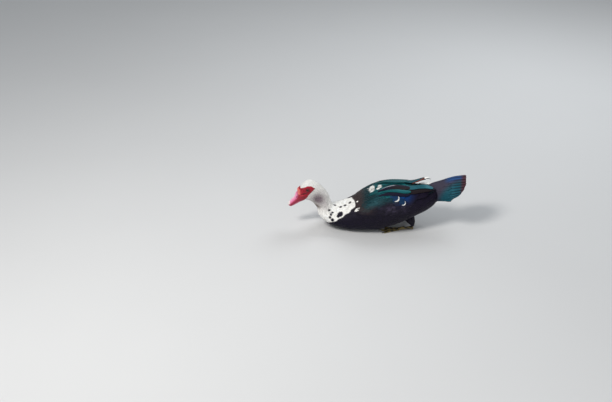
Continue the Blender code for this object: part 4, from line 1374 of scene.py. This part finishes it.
def tail_side(depth, swell=0.0):
    """The fan's upper side (depth 0) or under side (depth 1), with normals that face out of it. A swell
    in mm fills the hollow between rump and fan."""
    def face(s, a):
        fill = swell * np.exp(-((s - 0.06) / 0.24) ** 2) * np.clip(1 - a**2, 0, 1)
        return tail_points(s, a, depth) + fill[..., None] * (0, 0, 1)

    def surface(s, a):
        along = face(s + 0.01, a) - face(s - 0.01, a)
        across = face(s, a + 0.01) - face(s, a - 0.01)
        return face(s, a), unit(np.cross(across, along)) * (1 - 2 * depth)

    return surface


def tail_colours(tone, points, t, across):
    """Purple-grey at the root, teal down the sides, blue on top, maroon-brown tips with dark streaks."""
    x, y, _ = split(points)
    colour = mix(TAIL_GREY, TAIL_TEAL, ease(np.abs(x) + 0.25 * (y - 290), 22, 48))
    colour = mix(colour, TAIL_BLUE, 0.85 * ease(y, 270, 300) * (1 - ease(np.abs(x + 4), 14, 30)))
    colour = mix(colour, TAIL_TIP, ease(y + 0.16 * np.abs(x), 340, 354))
    streak = np.exp(-(across / 0.16) ** 2) + 0.9 * ease(np.abs(across), 0.6, 1.0)
    return mix(colour, TAIL_STREAK, np.clip(streak * ease(t, 0.3, 0.9), 0, 0.85))


def tail_bake(s, a):
    """A place for each tail feather on the skin's unwrap, spread over the stern."""
    return section_at["vent"] * (1 - np.clip(s, 0, 1)), 0.5 - 0.3 * a


def tail_cover_colours(tone, points, t, across):
    """The tail's own colours, a little darker, each feather's tone kept."""
    return tail_colours(tone, points, t * 0, across) * (0.55 + 2.4 * tone[..., :1])


fan = np.linspace(-0.95, 0.95, TAIL_FEATHERS)
rank = np.abs(np.arange(TAIL_FEATHERS) - (TAIL_FEATHERS - 1) / 2)
rng = np.random.default_rng(51)
tail_roots = np.full(TAIL_FEATHERS, 0.06), fan * 0.9
tail_tips = 1.0 - rng.uniform(0, 0.015, TAIL_FEATHERS), fan + rng.normal(0, 0.006, TAIL_FEATHERS)
lay("tail_feathers", "flight_feathers", tail_side(0), "flight", tail_roots, tail_tips, width=12.5,
    colour=TAIL_GREY, gloss=0.5, bake=tail_bake(np.full(TAIL_FEATHERS, 0.1), fan), nodes=("tail",),
    base=-0.4 - 0.36 * rank, rise=0.3, camber=1.1, thickness=0.6, roll=-0.5 * np.sign(fan), blunt=0.9,
    widest=0.7, shade=tail_colours, patch=(0.07, 0.024))


def tail_coverts(name, surface, rows, count, length, width, seed, plain, spread, drop, shade=None):
    """Staggered rows of coverts over one side of the tail's root. rows gives the first and last row's
    place along the tail and the number of rows."""
    rng = np.random.default_rng(seed)
    s = np.repeat(np.linspace(*rows), count)
    k = np.tile(np.arange(count), rows[2])
    a = (k + 0.5 * (np.arange(len(k)) // count % 2) - (count - 0.5) / 2) / (count / 2) * spread
    a, s = a + rng.normal(0, 0.02, len(a)), s + rng.normal(0, 0.006, len(s))
    colour = plain * rng.uniform(0.75, 1.2, len(s))[:, None]
    lay(name, "dark_feathers", surface, "covert", (s, a * 0.95), (s + length, a), width, colour,
        gloss=0.4, bake=tail_bake(s, a), base=0.3 - drop * np.abs(a), rise=0.3, plunge=2.5, camber=0.4,
        thickness=0.25, blunt=0.4, shade=shade)


tail_coverts("upper_tail_coverts", tail_side(0, swell=13.0), (-0.16, 0.30, 12), count=13, length=0.32,
             width=6.5, seed=52, plain=tint("5A5A5A"), spread=0.88, drop=3.0, shade=tail_cover_colours)
tail_coverts("under_tail_coverts", tail_side(1), (-0.06, 0.40, 10), count=12, length=0.30, width=7.0,
             seed=53, plain=PLUM, spread=0.70, drop=-3.6)

# Thigh feathers
# Short soft feathers cover each thigh down to the hock, in rows round it. They begin a little higher
# than the thigh's skin does.
THIGH_SHOWN = ((0, HOCK - 3, 15.8), *THIGH[1:])
THIGH_ROWS = np.arange(3.0, 51.0, 3.0)
THIGH_ROUND = 17
THIGH_FEATHER = 15
for side, name in SIDES.items():
    rings = place_foot(tube_rings(THIGH_SHOWN, THIGH_RADII, sides=48, steps=52), side)
    grid = with_normals(rings)
    facing = (grid[..., 3:] * (rings - rings.mean(axis=1, keepdims=True))).sum(axis=-1).mean()
    grid[..., 3:] *= np.sign(facing)
    thigh = reader(grid, 1.0)
    rng = np.random.default_rng(61)
    p = np.repeat(THIGH_ROWS, THIGH_ROUND)
    q = np.tile(np.arange(THIGH_ROUND) / THIGH_ROUND, len(THIGH_ROWS))
    q = (q + rng.uniform(-0.035, 0.035, len(p))) % 1.0
    p = p + rng.uniform(-1.5, 1.5, len(p))
    shades = FLANK * rng.uniform(0.75, 1.2, len(p))[:, None]
    spots, _ = thigh(p, q)
    home = np.array([nearest(spot) for spot in spots])
    lay(f"thigh_feathers_{name}", "dark_feathers", thigh, "contour", (p, q),
        (np.maximum(p - THIGH_FEATHER, -1.0), q), width=4.2, colour=shades, gloss=0.2, bake=home.T,
        base=-0.6, rise=1.2, plunge=2.5, thickness=0.25, roll=rng.normal(0, 0.3, len(p)))

# The floor, light and camera
# A plain pale floor and soft studio light, seen from the photograph's side and height.
bpy.ops.mesh.primitive_plane_add(size=60.0, location=(0, 0, 0))
floor = bpy.context.object
floor.name = "floor"
floor_finish, tree, shader = new_material("pale_matt_floor", Roughness=0.85)
grain = add_node(tree, "ShaderNodeTexNoise", {"Scale": 60.0, "Detail": 3.0})
shade = add_node(tree, "ShaderNodeMapRange", {"Value": grain.outputs["Fac"], "To Min": 0.60,
                                              "To Max": 0.64})
feed(tree, shader, {"Base Color": shade.outputs["Result"]})
floor.data.materials.append(floor_finish)


def soft_light(name, place, size, power, tone):
    """A square area light aimed at the bird."""
    light = bpy.data.lights.new(name, "AREA")
    light.size, light.energy, light.color = size, power, tuple(tone)
    thing = bpy.data.objects.new(name, light)
    thing.location = place
    thing.rotation_euler = (Vector((0, 0, 0.1)) - Vector(place)).to_track_quat("-Z", "Y").to_euler()
    bpy.context.scene.collection.objects.link(thing)


soft_light("sun_side", (1.4, -1.6, 2.6), size=0.9, power=72, tone=(1.0, 0.98, 0.95))
soft_light("sky_side", (-1.8, 1.2, 2.2), size=1.6, power=34, tone=(0.93, 0.97, 1.0))
soft_light("low_fill", (2.4, 1.0, 0.7), size=1.4, power=8, tone=(1.0, 1.0, 1.0))
world = bpy.data.worlds.new("pale_studio")
world.use_nodes = True
world.node_tree.nodes["Background"].inputs["Color"].default_value = (0.9, 0.95, 1.0, 1.0)
world.node_tree.nodes["Background"].inputs["Strength"].default_value = 0.38
bpy.context.scene.world = world
bpy.context.scene.view_settings.view_transform = "Standard"

CAMERA_ELEVATION = math.radians(28)
CAMERA_DISTANCE = 4.5
CAMERA_TARGET = (0.0, -0.2808, 0.1072)
LENS = 65.04
SENSOR = 36.0
camera = bpy.data.objects.new("camera", bpy.data.cameras.new("camera"))
camera.data.lens, camera.data.sensor_width = LENS, SENSOR
toward = Vector((math.cos(CAMERA_ELEVATION), 0.0, math.sin(CAMERA_ELEVATION)))
camera.location = Vector(CAMERA_TARGET) + toward * CAMERA_DISTANCE
camera.rotation_euler = (-toward).to_track_quat("-Z", "Y").to_euler()
bpy.context.scene.collection.objects.link(camera)
bpy.context.scene.camera = camera
